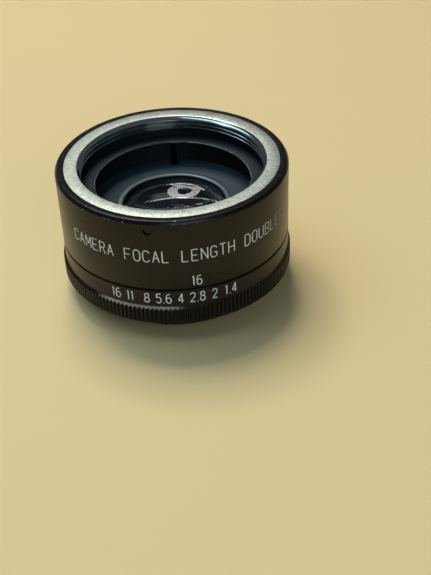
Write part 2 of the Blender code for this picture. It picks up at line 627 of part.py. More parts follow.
def make_linkage():
    """The pusher ring, its push rod and guide posts on one sliding body, and what guides and returns it."""
    slide = bpy.data.objects.new("pusher_slide", None)
    bpy.context.scene.collection.objects.link(slide)
    turned("pusher_ring", tube_outline(PUSHER_BORE_R, PUSHER_R, PUSHER_Z, PUSHER_TOP_Z), matt_black,
           parent=slide)
    names = ["push_rod"] + [f"guide_post_{i + 1}" for i in range(GUIDE_POSTS)]
    ends = [PIN_ABOVE_END_FACE] + [POST_END_Z] * GUIDE_POSTS
    bearings = evenly(GUIDE_POSTS + 1, PUSH_ROD_BEARING)
    clip_outline = tube_outline(ROD_R + GAP, CLIP_R, CLIP_Z, CLIP_TOP_Z)
    bush_outline = [
        (BUSH_R, FLOOR_Z - GAP),
        (BUSH_R, BUSH_FLANGE_TOP_Z),
        (BUSH_FLANGE_R, BUSH_FLANGE_TOP_Z),
        (BUSH_FLANGE_R, BUSH_FLANGE_Z),
        (BUSH_BORE_R, BUSH_FLANGE_Z),
        (BUSH_BORE_R, FLOOR_Z - GAP),
    ]
    for i, (name, end, bearing) in enumerate(zip(names, ends, bearings), 1):
        rod = turned(name, rod_outline(ROD_R, end, ROD_TOP_Z), spring_steel, SMALL, slide)
        clip = turned(f"rod_clip_{i}", clip_outline, blued_steel, SMALL, slide)
        bush = turned(f"guide_bush_{i}", bush_outline, turned_brass, SMALL)
        spring = add_object(f"return_spring_{i}", coil_spring(CLIP_TOP_Z + GAP, BUSH_FLANGE_Z - GAP),
                            spring_steel)
        for piece in (rod, clip, bush, spring):
            stand_at(piece, ROD_CIRCLE_R, bearing)


def coil_spring(low, high):
    """An open coil of round wire between two heights."""
    sides = 6
    middle = low + SPRING_WIRE_R
    outline = []
    for side in range(sides):
        angle = 2 * pi * side / sides
        outline.append((SPRING_COIL_R + SPRING_WIRE_R * cos(angle), middle + SPRING_WIRE_R * sin(angle)))
    rise = high - low - 2 * SPRING_WIRE_R
    return swept(outline, 0.0, 2 * pi * SPRING_TURNS, 10 * SPRING_TURNS, rise)


def main():
    for leftover in list(bpy.data.objects):
        bpy.data.objects.remove(leftover)
    make_barrel()
    make_front_mount()
    make_rear_mount()
    make_lens_tube()
    make_glasses()
    make_scale_ring()
    make_linkage()


main()
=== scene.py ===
"""Vintage screw-mount focal-length doubler: the looks of its barrel, mounts, f-number ring, glass, linkage.

Laid out as an add-on and run as a script. Lengths in outlines are millimetres and become metres when a mesh
is made. The optical axis is Z, front mount up. Bearings run from 0 degrees at -Y, where the barrel is
engraved, through 90 degrees at +X.
"""
import json
from math import cos, hypot, pi, radians, sin, sqrt

import bpy
from bpy.props import FloatProperty, FloatVectorProperty, IntProperty, PointerProperty
from mathutils import Matrix, Vector

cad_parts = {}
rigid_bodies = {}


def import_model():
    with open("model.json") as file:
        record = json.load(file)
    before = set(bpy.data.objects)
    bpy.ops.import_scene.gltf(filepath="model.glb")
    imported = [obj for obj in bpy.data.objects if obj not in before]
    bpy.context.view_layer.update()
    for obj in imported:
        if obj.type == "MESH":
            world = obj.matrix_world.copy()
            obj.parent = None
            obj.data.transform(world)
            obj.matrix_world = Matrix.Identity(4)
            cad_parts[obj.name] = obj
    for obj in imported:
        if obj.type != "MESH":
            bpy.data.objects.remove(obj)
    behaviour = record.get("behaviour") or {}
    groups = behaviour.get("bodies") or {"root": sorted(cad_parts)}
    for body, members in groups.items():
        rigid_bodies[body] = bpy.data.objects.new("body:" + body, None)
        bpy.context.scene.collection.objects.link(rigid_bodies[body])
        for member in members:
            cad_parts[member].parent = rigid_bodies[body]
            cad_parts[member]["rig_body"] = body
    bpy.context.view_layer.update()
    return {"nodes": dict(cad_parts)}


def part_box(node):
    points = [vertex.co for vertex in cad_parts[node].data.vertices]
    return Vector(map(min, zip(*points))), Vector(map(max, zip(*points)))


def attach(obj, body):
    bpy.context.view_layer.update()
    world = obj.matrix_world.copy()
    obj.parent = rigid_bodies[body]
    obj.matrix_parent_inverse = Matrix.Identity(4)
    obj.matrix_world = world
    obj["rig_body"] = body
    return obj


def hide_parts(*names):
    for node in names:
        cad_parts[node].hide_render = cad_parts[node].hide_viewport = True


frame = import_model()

bl_info = {
    "name": "Focal-length doubler",
    "version": (1, 0, 0),
    "blender": (4, 5, 0),
    "location": "3D View > Sidebar > Doubler",
    "description": "Builds the fine pieces and finishes of a screw-mount focal-length doubler",
    "category": "Object",
}

MM = 0.001

# Facets round a turn
FINE = 256
GLASS_FACETS = 192
GLASS_RINGS = 24
SMALL = 32

# Fits and cuts
SEAM = 0.04                    # line that shows between pieces pressed together
PAST = 1.0                     # how far a cutter runs past the face it opens
NEAR = 0.01                    # how near a radius counts as on it
THIRD_TURN = 120.0
QUARTER_TURN = 90.0

# Sizes inside the castings that no outer box gives
PARTING_GAP = 0.3
PARTING_CHAMFER = 0.16
RIM_CHAMFER = 0.65
RIM_CHAMFER_WIDTH = 0.5
SLEEVE_R = 23.9
SLEEVE_BORE_R = 20.8
WELL_R = 19.5
UNDERCUT_R = 21.3
SHOULDER_DROP = 0.3            # below the pusher ring
FLOOR_DEPTH = 11.0
FLOOR_THICKNESS = 2.5
DRAG_GROOVE = (0.7, 1.2, 0.9)  # below the parting line, height, depth
THREAD_R = 21.0
LEAD_IN_R = 21.2
LEAD_IN = 0.7
LEAD_IN_EASE = 0.2
THREAD_OVERCUT = 0.1           # past the crests
THREAD_TURNS = 5
FRONT_RUN_IN = 1.2             # turns that a thread starts before its metal
REAR_RUN_IN = 0.9
SEAT_R = 21.3
SEAT_RELIEF = 0.3
MALE_BORE_R = 19.6
MALE_LENGTH = 4.5
MALE_RELIEF = (0.5, 0.8)       # below the seat, where the thread's relief ends and its crests begin
LIP_R = 16.4
LIP_THICKNESS = 1.1
BAND_HEIGHT = 4.0
KNURL_RISE = 0.5
KNURL_CHAMFER = 0.3
RING_BORE_R = 24.2
RING_COUNTERBORE_R = 25.2
TUBE_R = 13.0
TUBE_BORE_R = 12.3
TUBE_LIP_R = 11.75
TUBE_LIP_THICKNESS = 0.5
TUBE_LIP_CHAMFER = 0.25
TUBE_FLANGE_THICKNESS = 1.7
BAFFLE_BORE_R = 13.3
BAFFLE_EASE = 0.2
PUSHER_BORE_R = 17.6
RETAINER_WIDTH = 2.1
RETAINER_THREAD = 0.2
SPANNER_SLOT = (30.0, 1.0, 1.0)
SPACER_RELIEF = 0.3
ROD_CIRCLE_R = 18.0
ROD_R = 0.65
ROD_BEARING = 178.0
ROD_HOLE_EASE = 0.15
CLIP_R = 1.7
BUSH_FLANGE_WIDTH = 0.75       # how far it stands out past the bush's body
BUSH_FLANGE_R = 1.8
BUSH_FLANGE_HEIGHT = 0.6
BUSH_EASE = 0.1

# Screws: shank radius, head radius, head height, length under the head
FLANGE_SCREW = (0.6, 1.2, 0.6, 4.6)
BAFFLE_SCREW = (0.5, 0.95, 0.5, 1.7)
CELL_SCREW = (0.5, 0.95, 0.5, 3.4)
SCREW_SLOT = (0.28, 0.28)      # width, depth
SCREW_CHAMFER = 0.1
GRUB_CHAMFER = 0.08
HEAD_HOLE_R = 1.3
HEAD_HOLE_DEPTH = 0.65
SHANK_HOLE_R = 0.7
SET_SCREW_DROP = 2.3
SET_SCREW_BEARING = -13.5
SET_SCREW_HOLE_R = 0.85
SET_SCREW_SUNK = 0.35          # below the barrel's face
STOP_SCREW_BEARING = 200.0
STOP_SCREW_HOLE_R = 0.8
STOP_SCREW_SUNK = 0.3
STOP_SCREW_REACH = 0.7         # into the sleeve's slot

# Glass: edge and clear radius, then each element's radii of curvature, positive when the centre is behind
GLASS_R = 12.0
CLEAR_R = 9.7
GLASS_IOR = 1.52
BLOOMED_IOR = 1.08
ELEMENTS = {
    "front_element": (500.0, -45.0),
    "middle_element_front": (-30.0, 24.0),
    "middle_element_rear": (24.0, -100.0),
    "rear_element": (-22.0, -60.0),
}


# Frame

def outer(node):
    """Radius in millimetres of a node turned about the axis."""
    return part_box(node)[1].x / MM


def top(node):
    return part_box(node)[1].z / MM


def bottom(node):
    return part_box(node)[0].z / MM


def off_axis(node):
    """Radius, bearing and height in millimetres and degrees of the middle of a node's box."""
    low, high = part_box(node)
    middle = (low + high) / 2 / MM
    bearing = Vector((0.0, -1.0)).angle_signed(Vector((middle.x, middle.y)))
    return hypot(middle.x, middle.y), -bearing * 180.0 / pi, middle.z


def on_circle(radius, bearing, z):
    """A place in metres on a circle about the axis."""
    return Vector((radius * sin(radians(bearing)), -radius * cos(radians(bearing)), z)) * MM


# Modelling

def start_clean():
    """Leave edit mode and deselect everything."""
    if bpy.context.object and bpy.context.object.mode != "OBJECT":
        bpy.ops.object.mode_set(mode="OBJECT")
    bpy.ops.object.select_all(action="DESELECT")


def only(piece):
    start_clean()
    piece.select_set(True)
    bpy.context.view_layer.objects.active = piece


def select_points(piece, wanted):
    """Enter edit mode with just the vertices for which wanted(place in millimetres) is true."""
    only(piece)
    bpy.ops.object.mode_set(mode="EDIT")
    bpy.ops.mesh.select_mode(type="VERT")
    bpy.ops.mesh.select_all(action="DESELECT")
    bpy.ops.object.mode_set(mode="OBJECT")
    for vertex in piece.data.vertices:
        vertex.select = wanted(vertex.co / MM)
    bpy.ops.object.mode_set(mode="EDIT")


def extrude_to(radius, z, from_radius, from_z):
    """Extrude the selected ring and take the new one to a radius and height; 0 closes it at the axis."""
    bpy.ops.mesh.extrude_region_move(TRANSFORM_OT_translate={"value": (0, 0, (z - from_z) * MM)})
    if radius > 0.0:
        scale = radius / from_radius
        bpy.ops.transform.resize(value=(scale, scale, 1.0), center_override=(0, 0, 0))
    else:
        bpy.ops.mesh.merge(type="CENTER")


def turned(name, outline, facets=FINE, ease=0.0, steps=2):
    """A solid turned about the axis from (radius, height) points that run down its outer side and back up
    inside, or from the axis to the axis. Its edges are rounded by ease."""
    solid = outline[0][0] == 0.0
    rings = outline[1:] if solid else outline + outline[:1]
    start_clean()
    radius, z = rings[0]
    bpy.ops.mesh.primitive_circle_add(vertices=facets, radius=radius * MM, location=(0, 0, 0))
    piece = bpy.context.object
    piece.name = name
    piece.data.name = name
    bpy.ops.object.mode_set(mode="EDIT")
    bpy.ops.mesh.select_mode(type="VERT")
    bpy.ops.mesh.select_all(action="SELECT")
    bpy.ops.transform.translate(value=(0, 0, z * MM))
    if solid:
        extrude_to(0.0, outline[0][1], radius, z)
        bpy.ops.object.mode_set(mode="OBJECT")
        first = range(facets)
        for vertex in piece.data.vertices:
            vertex.select = vertex.index in first
        bpy.ops.object.mode_set(mode="EDIT")
    for next_radius, next_z in rings[1:]:
        extrude_to(next_radius, next_z, radius, z)
        radius, z = next_radius, next_z
    bpy.ops.mesh.select_all(action="SELECT")
    bpy.ops.mesh.remove_doubles(threshold=0.002 * MM)
    bpy.ops.mesh.normals_make_consistent(inside=False)
    bpy.ops.object.mode_set(mode="OBJECT")
    if ease:
        soften(piece, ease, steps)
    return piece


def soften(piece, width, steps=2):
    """Round a piece's sharp edges."""
    only(piece)
    bevel = piece.modifiers.new("ease", "BEVEL")
    bevel.width = width * MM
    bevel.segments = steps
    bevel.limit_method = "ANGLE"
    bevel.angle_limit = radians(25)
    bpy.ops.object.modifier_apply(modifier=bevel.name)


def shade(piece):
    only(piece)
    bpy.ops.object.shade_smooth_by_angle(angle=radians(28))


def tube(inner, outside, low, high):
    return [(outside, high), (outside, low), (inner, low), (inner, high)]


def rod(radius, low, high, ease=0.0):
    """Outline of a round bar with chamfered ends."""
    return [(0.0, high), (radius - ease, high), (radius, high - ease), (radius, low + ease),
            (radius - ease, low), (0.0, low)]


def place(piece, matrix):
    """Move a piece and put its place in its mesh."""
    piece.matrix_world = matrix
    only(piece)
    bpy.ops.object.transform_apply(location=True, rotation=True, scale=True)
    return piece


def stand(piece, radius, bearing, z=0.0):
    """Put a piece that was made about the axis on a circle about it, turned to its bearing."""
    turn = Matrix.Rotation(radians(bearing), 4, "Z")
    return place(piece, Matrix.Translation(on_circle(radius, bearing, z)) @ turn)


def point_outward(piece, radius, bearing, z):
    """Lay a piece that was made upright along a radius, its top outwards."""
    turn = Matrix.Rotation(radians(bearing), 4, "Z") @ Matrix.Rotation(pi / 2, 4, "X")
    return place(piece, Matrix.Translation(on_circle(radius, bearing, z)) @ turn)


def copy_round(piece, name, angle):
    """A copy with its own mesh, turned about the axis."""
    only(piece)
    bpy.ops.object.duplicate(linked=False)
    twin = bpy.context.object
    twin.name = name
    twin.data.name = name
    return place(twin, Matrix.Rotation(radians(angle), 4, "Z"))


def cut(piece, cutter, crossing=False):
    """Take a cutter's shape out of a piece; the cut faces keep the cutter's material."""
    only(piece)
    boolean = piece.modifiers.new("cut", "BOOLEAN")
    boolean.operation = "DIFFERENCE"
    boolean.solver = "EXACT"
    boolean.use_self = crossing
    boolean.material_mode = "TRANSFER"
    boolean.object = cutter
    bpy.ops.object.modifier_apply(modifier=boolean.name)
    bpy.data.objects.remove(cutter)


def drill(piece, radius, circle_r, bearing, low, high):
    cut(piece, stand(turned("drill", rod(radius, low, high), SMALL), circle_r, bearing))


def drill_inward(piece, radius, bearing, z, inner, outside):
    cut(piece, point_outward(turned("drill", rod(radius, 0.0, outside - inner), SMALL), inner, bearing, z))


def mill(piece, size, z, turn=0.0):
    """Cut a slot of a length, width and height across a piece on the axis, centred at a height."""
    start_clean()
    bpy.ops.mesh.primitive_cube_add(size=MM, location=(0, 0, 0))
    cutter = bpy.context.object
    scale = Matrix.Diagonal((*size, 1.0))
    place(cutter, Matrix.Translation((0, 0, z * MM)) @ Matrix.Rotation(radians(turn), 4, "Z") @ scale)
    cut(piece, cutter)


def slot_top(screw, radius, z, turn):
    """Mill a driver slot across the end face, at height z, of an upright screw of that radius."""
    width, depth = SCREW_SLOT
    mill(screw, (4 * radius, width, 2 * depth), z, turn)


def helix(name, outline, pitch, turns, facets):
    """A closed (radius, height) outline carried up a screw thread, with closed ends."""
    start_clean()
    mesh = bpy.data.meshes.new(name)
    points = [(radius * MM, 0.0, z * MM) for radius, z in outline]
    edges = [(i, (i + 1) % len(outline)) for i in range(len(outline))]
    mesh.from_pydata(points, edges, [])
    piece = bpy.data.objects.new(name, mesh)
    bpy.context.scene.collection.objects.link(piece)
    only(piece)
    screw = piece.modifiers.new("screw", "SCREW")
    screw.axis = "Z"
    screw.screw_offset = pitch * MM
    screw.iterations = turns
    screw.steps = facets
    screw.render_steps = facets
    bpy.ops.object.modifier_apply(modifier=screw.name)
    bpy.ops.object.mode_set(mode="EDIT")
    bpy.ops.mesh.select_all(action="SELECT")
    bpy.ops.mesh.fill_holes(sides=len(outline))
    bpy.ops.mesh.select_all(action="SELECT")
    bpy.ops.mesh.normals_make_consistent(inside=False)
    bpy.ops.object.mode_set(mode="OBJECT")
    return piece


def vee(root_r, open_r, pitch):
    """Outline of a 60 degree thread groove, flat at its root, as wide as it is where it opens."""
    flat = pitch / 16
    wide = flat + abs(open_r - root_r) * sin(pi / 6) / cos(pi / 6)
    return [(open_r, wide), (open_r, -wide), (root_r, -flat), (root_r, flat)]


def give_faces(piece, index, wanted):
    """Give a material slot to the faces for which wanted(middle, normal), in millimetres, is true."""
    for face in piece.data.polygons:
        if wanted(face.center / MM, face.normal):
            face.material_index = index


def stands_for(piece, node, slot, *materials):
    """Shade and finish a piece, give it its node's body, and hide the node; slot is not used."""
    shade(piece)
    for material in materials:
        if material.name not in piece.data.materials:
            piece.data.materials.append(material)
    piece.data.materials[0] = materials[0]
    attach(piece, frame["nodes"][node]["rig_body"])
    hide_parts(node)


# Engraving: each glyph is a list of strokes in a cell one wide and one high

def arc(cx, cy, rx, ry, start, end, steps=8):
    """Points along an ellipse between two angles in degrees."""
    angles = [radians(start + (end - start) * i / steps) for i in range(steps + 1)]
    return [(cx + rx * cos(a), cy + ry * sin(a)) for a in angles]


def glyphs():
    """Stroke shapes of the engraver's alphabet and numerals, by character."""
    low_turn = arc(0.5, 0.28, 0.5, 0.28, 180, 360)
    high_turn = arc(0.5, 0.72, 0.5, 0.28, 0, 180)
    round_o = high_turn + low_turn + high_turn[:1]
    stem = [(0.0, 0.0), (0.0, 1.0)]
    top_bar = [(0.0, 1.0), (0.95, 1.0)]
    middle_bar = [(0.0, 0.5), (0.8, 0.5)]
    bowl = [(0.0, 1.0), (0.5, 1.0)] + arc(0.55, 0.75, 0.42, 0.25, 90, -90) + [(0.0, 0.5)]
    return {
        "A": [[(0.0, 0.0), (0.5, 1.0)], [(0.5, 1.0), (1.0, 0.0)], [(0.2, 0.36), (0.8, 0.36)]],
        "B": [stem, bowl, [(0.5, 0.5)] + arc(0.55, 0.25, 0.45, 0.25, 90, -90) + [(0.0, 0.0)]],
        "C": [arc(0.5, 0.72, 0.5, 0.28, 15, 180) + arc(0.5, 0.28, 0.5, 0.28, 180, 345)],
        "D": [stem, [(0.0, 1.0)] + arc(0.45, 0.65, 0.55, 0.35, 90, 0) + arc(0.45, 0.35, 0.55, 0.35, 0, -90)
              + [(0.0, 0.0)]],
        "E": [stem, top_bar, [(0.0, 0.0), (0.95, 0.0)], middle_bar],
        "F": [stem, top_bar, middle_bar],
        "G": [arc(0.5, 0.72, 0.5, 0.28, 15, 180) + low_turn + [(1.0, 0.44)], [(1.0, 0.44), (0.55, 0.44)]],
        "H": [stem, [(1.0, 0.0), (1.0, 1.0)], [(0.0, 0.5), (1.0, 0.5)]],
        "L": [[(0.0, 1.0), (0.0, 0.0)], [(0.0, 0.0), (0.9, 0.0)]],
        "M": [stem, [(0.0, 1.0), (0.5, 0.3)], [(0.5, 0.3), (1.0, 1.0)], [(1.0, 1.0), (1.0, 0.0)]],
        "N": [stem, [(0.0, 1.0), (1.0, 0.0)], [(1.0, 0.0), (1.0, 1.0)]],
        "O": [round_o],
        "R": [stem, bowl, [(0.5, 0.5), (1.0, 0.0)]],
        "T": [[(0.0, 1.0), (1.0, 1.0)], [(0.5, 1.0), (0.5, 0.0)]],
        "U": [[(0.0, 1.0)] + low_turn + [(1.0, 1.0)]],
        "1": [[(0.3, 0.84), (0.5, 1.0)], [(0.5, 1.0), (0.5, 0.0)]],
        "2": [arc(0.5, 0.72, 0.48, 0.28, 165, -35), [(0.89, 0.56), (0.0, 0.0)], [(0.0, 0.0), (1.0, 0.0)]],
        "4": [[(0.72, 0.0), (0.72, 1.0)], [(0.72, 1.0), (0.0, 0.28)], [(0.0, 0.28), (1.0, 0.28)]],
        "5": [[(0.95, 1.0), (0.15, 1.0)], [(0.15, 1.0), (0.08, 0.56)],
              arc(0.48, 0.33, 0.5, 0.33, 135, -150, 12)],
        "6": [[(0.85, 0.98)] + arc(0.6, 0.62, 0.58, 0.36, 110, 170, 4) + [(0.0, 0.3)],
              arc(0.5, 0.3, 0.5, 0.3, 180, 540, 16)],
        "8": [arc(0.5, 0.76, 0.42, 0.24, 90, 450, 14), arc(0.5, 0.27, 0.5, 0.27, 90, 450, 14)],
        ".": [[(0.42, 0.02), (0.58, 0.02)]],
    }


def engrave(piece, marks, radius, stroke, paint):
    """Cut marks into a round piece and fill them with paint. marks are (strokes, bearing, z, width,
    height): where a cell's lower left corner lies and its size."""
    curve = bpy.data.curves.new("engraver", "CURVE")
    curve.dimensions = "3D"
    curve.bevel_depth = stroke / 2 * MM
    curve.bevel_resolution = 1
    curve.use_fill_caps = True
    for strokes, bearing, z, width, height in marks:
        for points in strokes:
            closed = points[0] == points[-1]
            points = points[:-1] if closed else points
            spline = curve.splines.new("POLY")
            spline.points.add(len(points) - 1)
            spline.use_cyclic_u = closed
            for point, (x, y) in zip(spline.points, points):
                along = bearing + x * width / radius * 180.0 / pi
                point.co = (*on_circle(radius, along, z + y * height), 1.0)
    cutter = bpy.data.objects.new("engraver", curve)
    bpy.context.scene.collection.objects.link(cutter)
    only(cutter)
    bpy.ops.object.convert(target="MESH")
    cutter.data.materials.append(paint)
    cut(piece, cutter, crossing=True)


SLIM = {"1": 0.5, ".": 0.25}     # share of a cell's width


def line_of_type(text, start, z, width, height, gap, space, radius):
    """Marks for a line of characters from a bearing, each width wide, with gaps between."""
    shapes = glyphs()
    marks = []
    bearing = start
    for character in text:
        wide = space if character == " " else SLIM.get(character, 1.0) * width
        if character != " ":
            shift = (wide - width) / 2 if character in SLIM else 0.0
            marks.append((shapes[character], bearing + shift / radius * 180.0 / pi, z, width, height))
        bearing += (wide + (0.0 if character == " " else gap)) / radius * 180.0 / pi
    return marks


# Materials

def linear(colour):
    """Linear red, green and blue of an sRGB hex colour."""
    channels = [int(colour[i:i + 2], 16) / 255 for i in (1, 3, 5)]
    return tuple(c / 12.92 if c <= 0.04045 else ((c + 0.055) / 1.055) ** 2.4 for c in channels)


def add_node(tree, kind, inputs=(), **settings):
    """Add a node, set its properties, and link or set its inputs."""
    node = tree.nodes.new("ShaderNode" + kind)
    for name, value in settings.items():
        setattr(node, name, value)
    for socket, value in dict(inputs).items():
        if isinstance(value, bpy.types.NodeSocket):
            tree.links.new(value, node.inputs[socket])
        else:
            node.inputs[socket].default_value = value
    return node


def new_finish(name, colour, roughness, metallic=0.0, **sockets):
    """A material with its shader set, and the Object coordinates that its patterns read."""
    material = bpy.data.materials.new(name)
    material.use_nodes = True
    tree = material.node_tree
    shader = tree.nodes["Principled BSDF"]
    shader.inputs["Base Color"].default_value = (*colour, 1.0)
    shader.inputs["Roughness"].default_value = roughness
    shader.inputs["Metallic"].default_value = metallic
    for socket, value in sockets.items():
        shader.inputs[socket.replace("_", " ")].default_value = value
    place_in_piece = add_node(tree, "TexCoord").outputs["Object"]
    return material, tree, shader, place_in_piece


def grain(tree, place_in_piece, shader, size, roughness, depth, strength):
    """Fine grain of a size in millimetres that varies the roughness between two values and raises the
    surface."""
    noise = add_node(tree, "TexNoise", {"Vector": place_in_piece, "Scale": 1 / (size * MM),
                                        "Detail": 3.0})
    spread = add_node(tree, "MapRange", {"Value": noise.outputs["Fac"], "From Min": 0.3,
                                         "From Max": 0.7, "To Min": roughness[0],
                                         "To Max": roughness[1]})
    tree.links.new(spread.outputs["Result"], shader.inputs["Roughness"])
    bump = add_node(tree, "Bump", {"Height": noise.outputs["Fac"], "Strength": strength,
                                   "Distance": depth * MM})
    tree.links.new(bump.outputs["Normal"], shader.inputs["Normal"])
    return noise.outputs["Fac"]


def section_place(tree, place_in_piece):
    """Radius and height as X and Y, and bearing in radians."""
    split = add_node(tree, "SeparateXYZ", {0: place_in_piece})
    flat = add_node(tree, "CombineXYZ", {"X": split.outputs["X"], "Y": split.outputs["Y"]})
    radius = add_node(tree, "VectorMath", {0: flat.outputs["Vector"]}, operation="LENGTH")
    section = add_node(tree, "CombineXYZ", {"X": radius.outputs["Value"], "Y": split.outputs["Z"]})
    front = add_node(tree, "Math", {0: split.outputs["Y"], 1: -1.0}, operation="MULTIPLY")
    bearing = add_node(tree, "Math", {0: split.outputs["X"], 1: front.outputs[0]},
                       operation="ARCTAN2")
    return section.outputs["Vector"], bearing.outputs[0]


def facing(tree, bearing, middle, reach):
    """Mask that is 1 towards a bearing and falls to 0 within reach, both in degrees."""
    turn = add_node(tree, "Math", {0: bearing, 1: radians(middle)}, operation="SUBTRACT")
    away = add_node(tree, "Math", {0: turn.outputs[0]}, operation="ABSOLUTE")
    near = add_node(tree, "MapRange", {"Value": away.outputs[0], "From Min": radians(reach),
                                       "From Max": radians(0.6 * reach)},
                    interpolation_type="SMOOTHSTEP")
    return near.outputs["Result"]


def edge_wear_and_highlight(tree, place_in_piece, edges, width, patch, cover, middle, reach):
    """Mask of patchy marks along turned edges at (radius, height), within width, in patches of a given size,
    on the side towards a bearing. The marks stand for use, and for a painted highlight where that side is the
    lit one or where they lie on lacquer."""
    section, bearing = section_place(tree, place_in_piece)
    wear_and_highlight = None
    for radius, z in edges:
        gap = add_node(tree, "VectorMath", {0: section, 1: (radius * MM, z * MM, 0.0)},
                       operation="DISTANCE")
        near = add_node(tree, "MapRange", {"Value": gap.outputs["Value"], "From Min": width * MM,
                                           "From Max": 0.3 * width * MM})
        mask = near.outputs["Result"]
        if wear_and_highlight is None:
            wear_and_highlight = mask
        else:
            wear_and_highlight = add_node(tree, "Math", {0: wear_and_highlight, 1: mask}, operation="MAXIMUM").outputs[0]
    noise = add_node(tree, "TexNoise", {"Vector": place_in_piece, "Scale": 1 / (patch * MM),
                                        "Detail": 4.0, "Roughness": 0.65})
    patches = add_node(tree, "MapRange", {"Value": noise.outputs["Fac"], "From Min": cover,
                                          "From Max": cover + 0.06})
    wear_and_highlight = add_node(tree, "Math", {0: wear_and_highlight, 1: patches.outputs["Result"]},
                    operation="MULTIPLY").outputs[0]
    # Kept to the side towards middle: where that is the lit side, the marks are a painted highlight.
    side = facing(tree, bearing, middle, reach)
    return add_node(tree, "Math", {0: wear_and_highlight, 1: side}, operation="MULTIPLY").outputs[0]


def black_anodised(name, colours, edges=(), ease=0.0, cover=0.56, middle=0.0, reach=400.0):
    """Aluminium, turned, then etched and anodised black: a satin skin over fine etch grain, olive where it is
    thin, bared by use in patches along its edges; middle and reach can keep those patches to the lit side,
    where they are partly a painted highlight."""
    dark, bare = colours.anodised, colours.bare
    material, tree, shader, place_in_piece = new_finish(name, dark, 0.3, IOR=1.5, Specular_IOR_Level=0.31)
    grain(tree, place_in_piece, shader, 0.16, (0.22, 0.34), 0.008, 0.3)
    cloud = add_node(tree, "TexNoise", {"Vector": place_in_piece, "Scale": 260.0, "Detail": 4.0})
    fade = add_node(tree, "MapRange", {"Value": cloud.outputs["Fac"], "From Min": 0.35,
                                       "From Max": 0.7})
    skin = add_node(tree, "Mix", {0: fade.outputs["Result"], 6: (*dark, 1.0),
                                  7: (*(1.5 * c for c in dark), 1.0)}, data_type="RGBA")
    colour = skin.outputs[2]
    if edges:
        # Bare patches along the edges, kept by middle and reach to one side; on the lit side they are partly
        # a painted highlight.
        wear_and_highlight = edge_wear_and_highlight(tree, place_in_piece, edges, ease, 0.9, cover, middle, reach)
        mixed = add_node(tree, "Mix", {0: wear_and_highlight, 6: colour, 7: (*bare, 1.0)}, data_type="RGBA")
        colour = mixed.outputs[2]
        tree.links.new(wear_and_highlight, shader.inputs["Metallic"])
    tree.links.new(colour, shader.inputs["Base Color"])
    return material


def satin_chrome(name, colours):
    """Brass, bead-blasted and chrome plated: an even grey-green satin with fine sparkle."""
    material, tree, shader, place_in_piece = new_finish(name, colours.chrome, 0.45, 1.0)
    noise = grain(tree, place_in_piece, shader, 0.45, (0.46, 0.6), 0.03, 0.45)
    tone = add_node(tree, "MapRange", {"Value": noise, "From Min": 0.4, "From Max": 0.6,
                                       "To Min": 0.64, "To Max": 1.0})
    mixed = add_node(tree, "Mix", {0: tone.outputs["Result"], 6: (0.0, 0.0, 0.0, 1.0),
                                   7: (*colours.chrome, 1.0)}, data_type="RGBA")
    tree.links.new(mixed.outputs[2], shader.inputs["Base Color"])
    return material


def matt_black(name, colours, edges=(), ease=0.1, depth=1.0):
    """Flat black lacquer sprayed inside the well to kill reflections, greyer in patches along the given edges
    as a painted highlight; depth below 1 darkens the lacquer to paint the shade that falls in the well."""
    # depth below 1 darkens the lacquer: painted shade.
    base = tuple(depth * c for c in colours.lacquer)
    edge_highlight_grey = tuple(0.3 * c for c in colours.bare)
    material, tree, shader, place_in_piece = new_finish(name, base, 0.55, Specular_IOR_Level=0.25)
    grain(tree, place_in_piece, shader, 0.3, (0.48, 0.62), 0.02, 0.4)
    # Greyer patches along the edges: a painted highlight.
    if edges:
        wear_and_highlight = edge_wear_and_highlight(tree, place_in_piece, edges, ease, 1.2, 0.42, 180.0, 400.0)
        mixed = add_node(tree, "Mix", {0: wear_and_highlight, 6: (*base, 1.0), 7: (*edge_highlight_grey, 1.0)},
                         data_type="RGBA")
        tree.links.new(mixed.outputs[2], shader.inputs["Base Color"])
    return material


def machined(name, colour, roughness=0.28, strength=0.3):
    """Bare metal off the lathe: a bright, slightly uneven shine."""
    material, tree, shader, place_in_piece = new_finish(name, colour, roughness, 1.0)
    grain(tree, place_in_piece, shader, 0.12, (roughness - 0.06, roughness + 0.08), 0.008, strength)
    return material


def blued_steel(name, colours):
    """Steel heated and oiled: a dull blue-black."""
    return machined(name, colours.blued, roughness=0.35)


def aged_paint(name, colours):
    """White enamel wiped into the engraving, lost in places, and darker towards the right from 38 degrees of
    bearing.
    """
    fresh, lost = colours.paint, colours.anodised
    material, tree, shader, place_in_piece = new_finish(name, fresh, 0.6)
    noise = add_node(tree, "TexNoise", {"Vector": place_in_piece, "Scale": 1 / (0.7 * MM),
                                        "Detail": 4.0, "Roughness": 0.7})
    chips = add_node(tree, "MapRange", {"Value": noise.outputs["Fac"], "From Min": 0.6,
                                        "From Max": 0.7})
    _, bearing = section_place(tree, place_in_piece)
    # Darker towards the right, from 38 to 66 degrees of bearing.
    darker_rightwards = add_node(tree, "MapRange", {"Value": bearing, "From Min": radians(38),
                                        "From Max": radians(66), "To Max": 0.75})
    chips_and_darkening = add_node(tree, "Math", {0: chips.outputs["Result"], 1: darker_rightwards.outputs["Result"]},
                    operation="MAXIMUM")
    mixed = add_node(tree, "Mix", {0: chips_and_darkening.outputs[0], 6: (*fresh, 1.0), 7: (*lost, 1.0)},
                     data_type="RGBA")
    tree.links.new(mixed.outputs[2], shader.inputs["Base Color"])
    return material


def coated_glass(name, tint, ior):
    """Optical glass, polished: clear, with reflections that its coating dims and tints. The inner glasses
    take a low index, since their coating leaves hardly any reflection."""
    material, _, shader, _ = new_finish(name, (1.0, 1.0, 1.0), 0.0, IOR=ior)
    shader.inputs["Transmission Weight"].default_value = 1.0
    shader.inputs["Specular Tint"].default_value = (*tint, 1.0)
    return material


# Settings

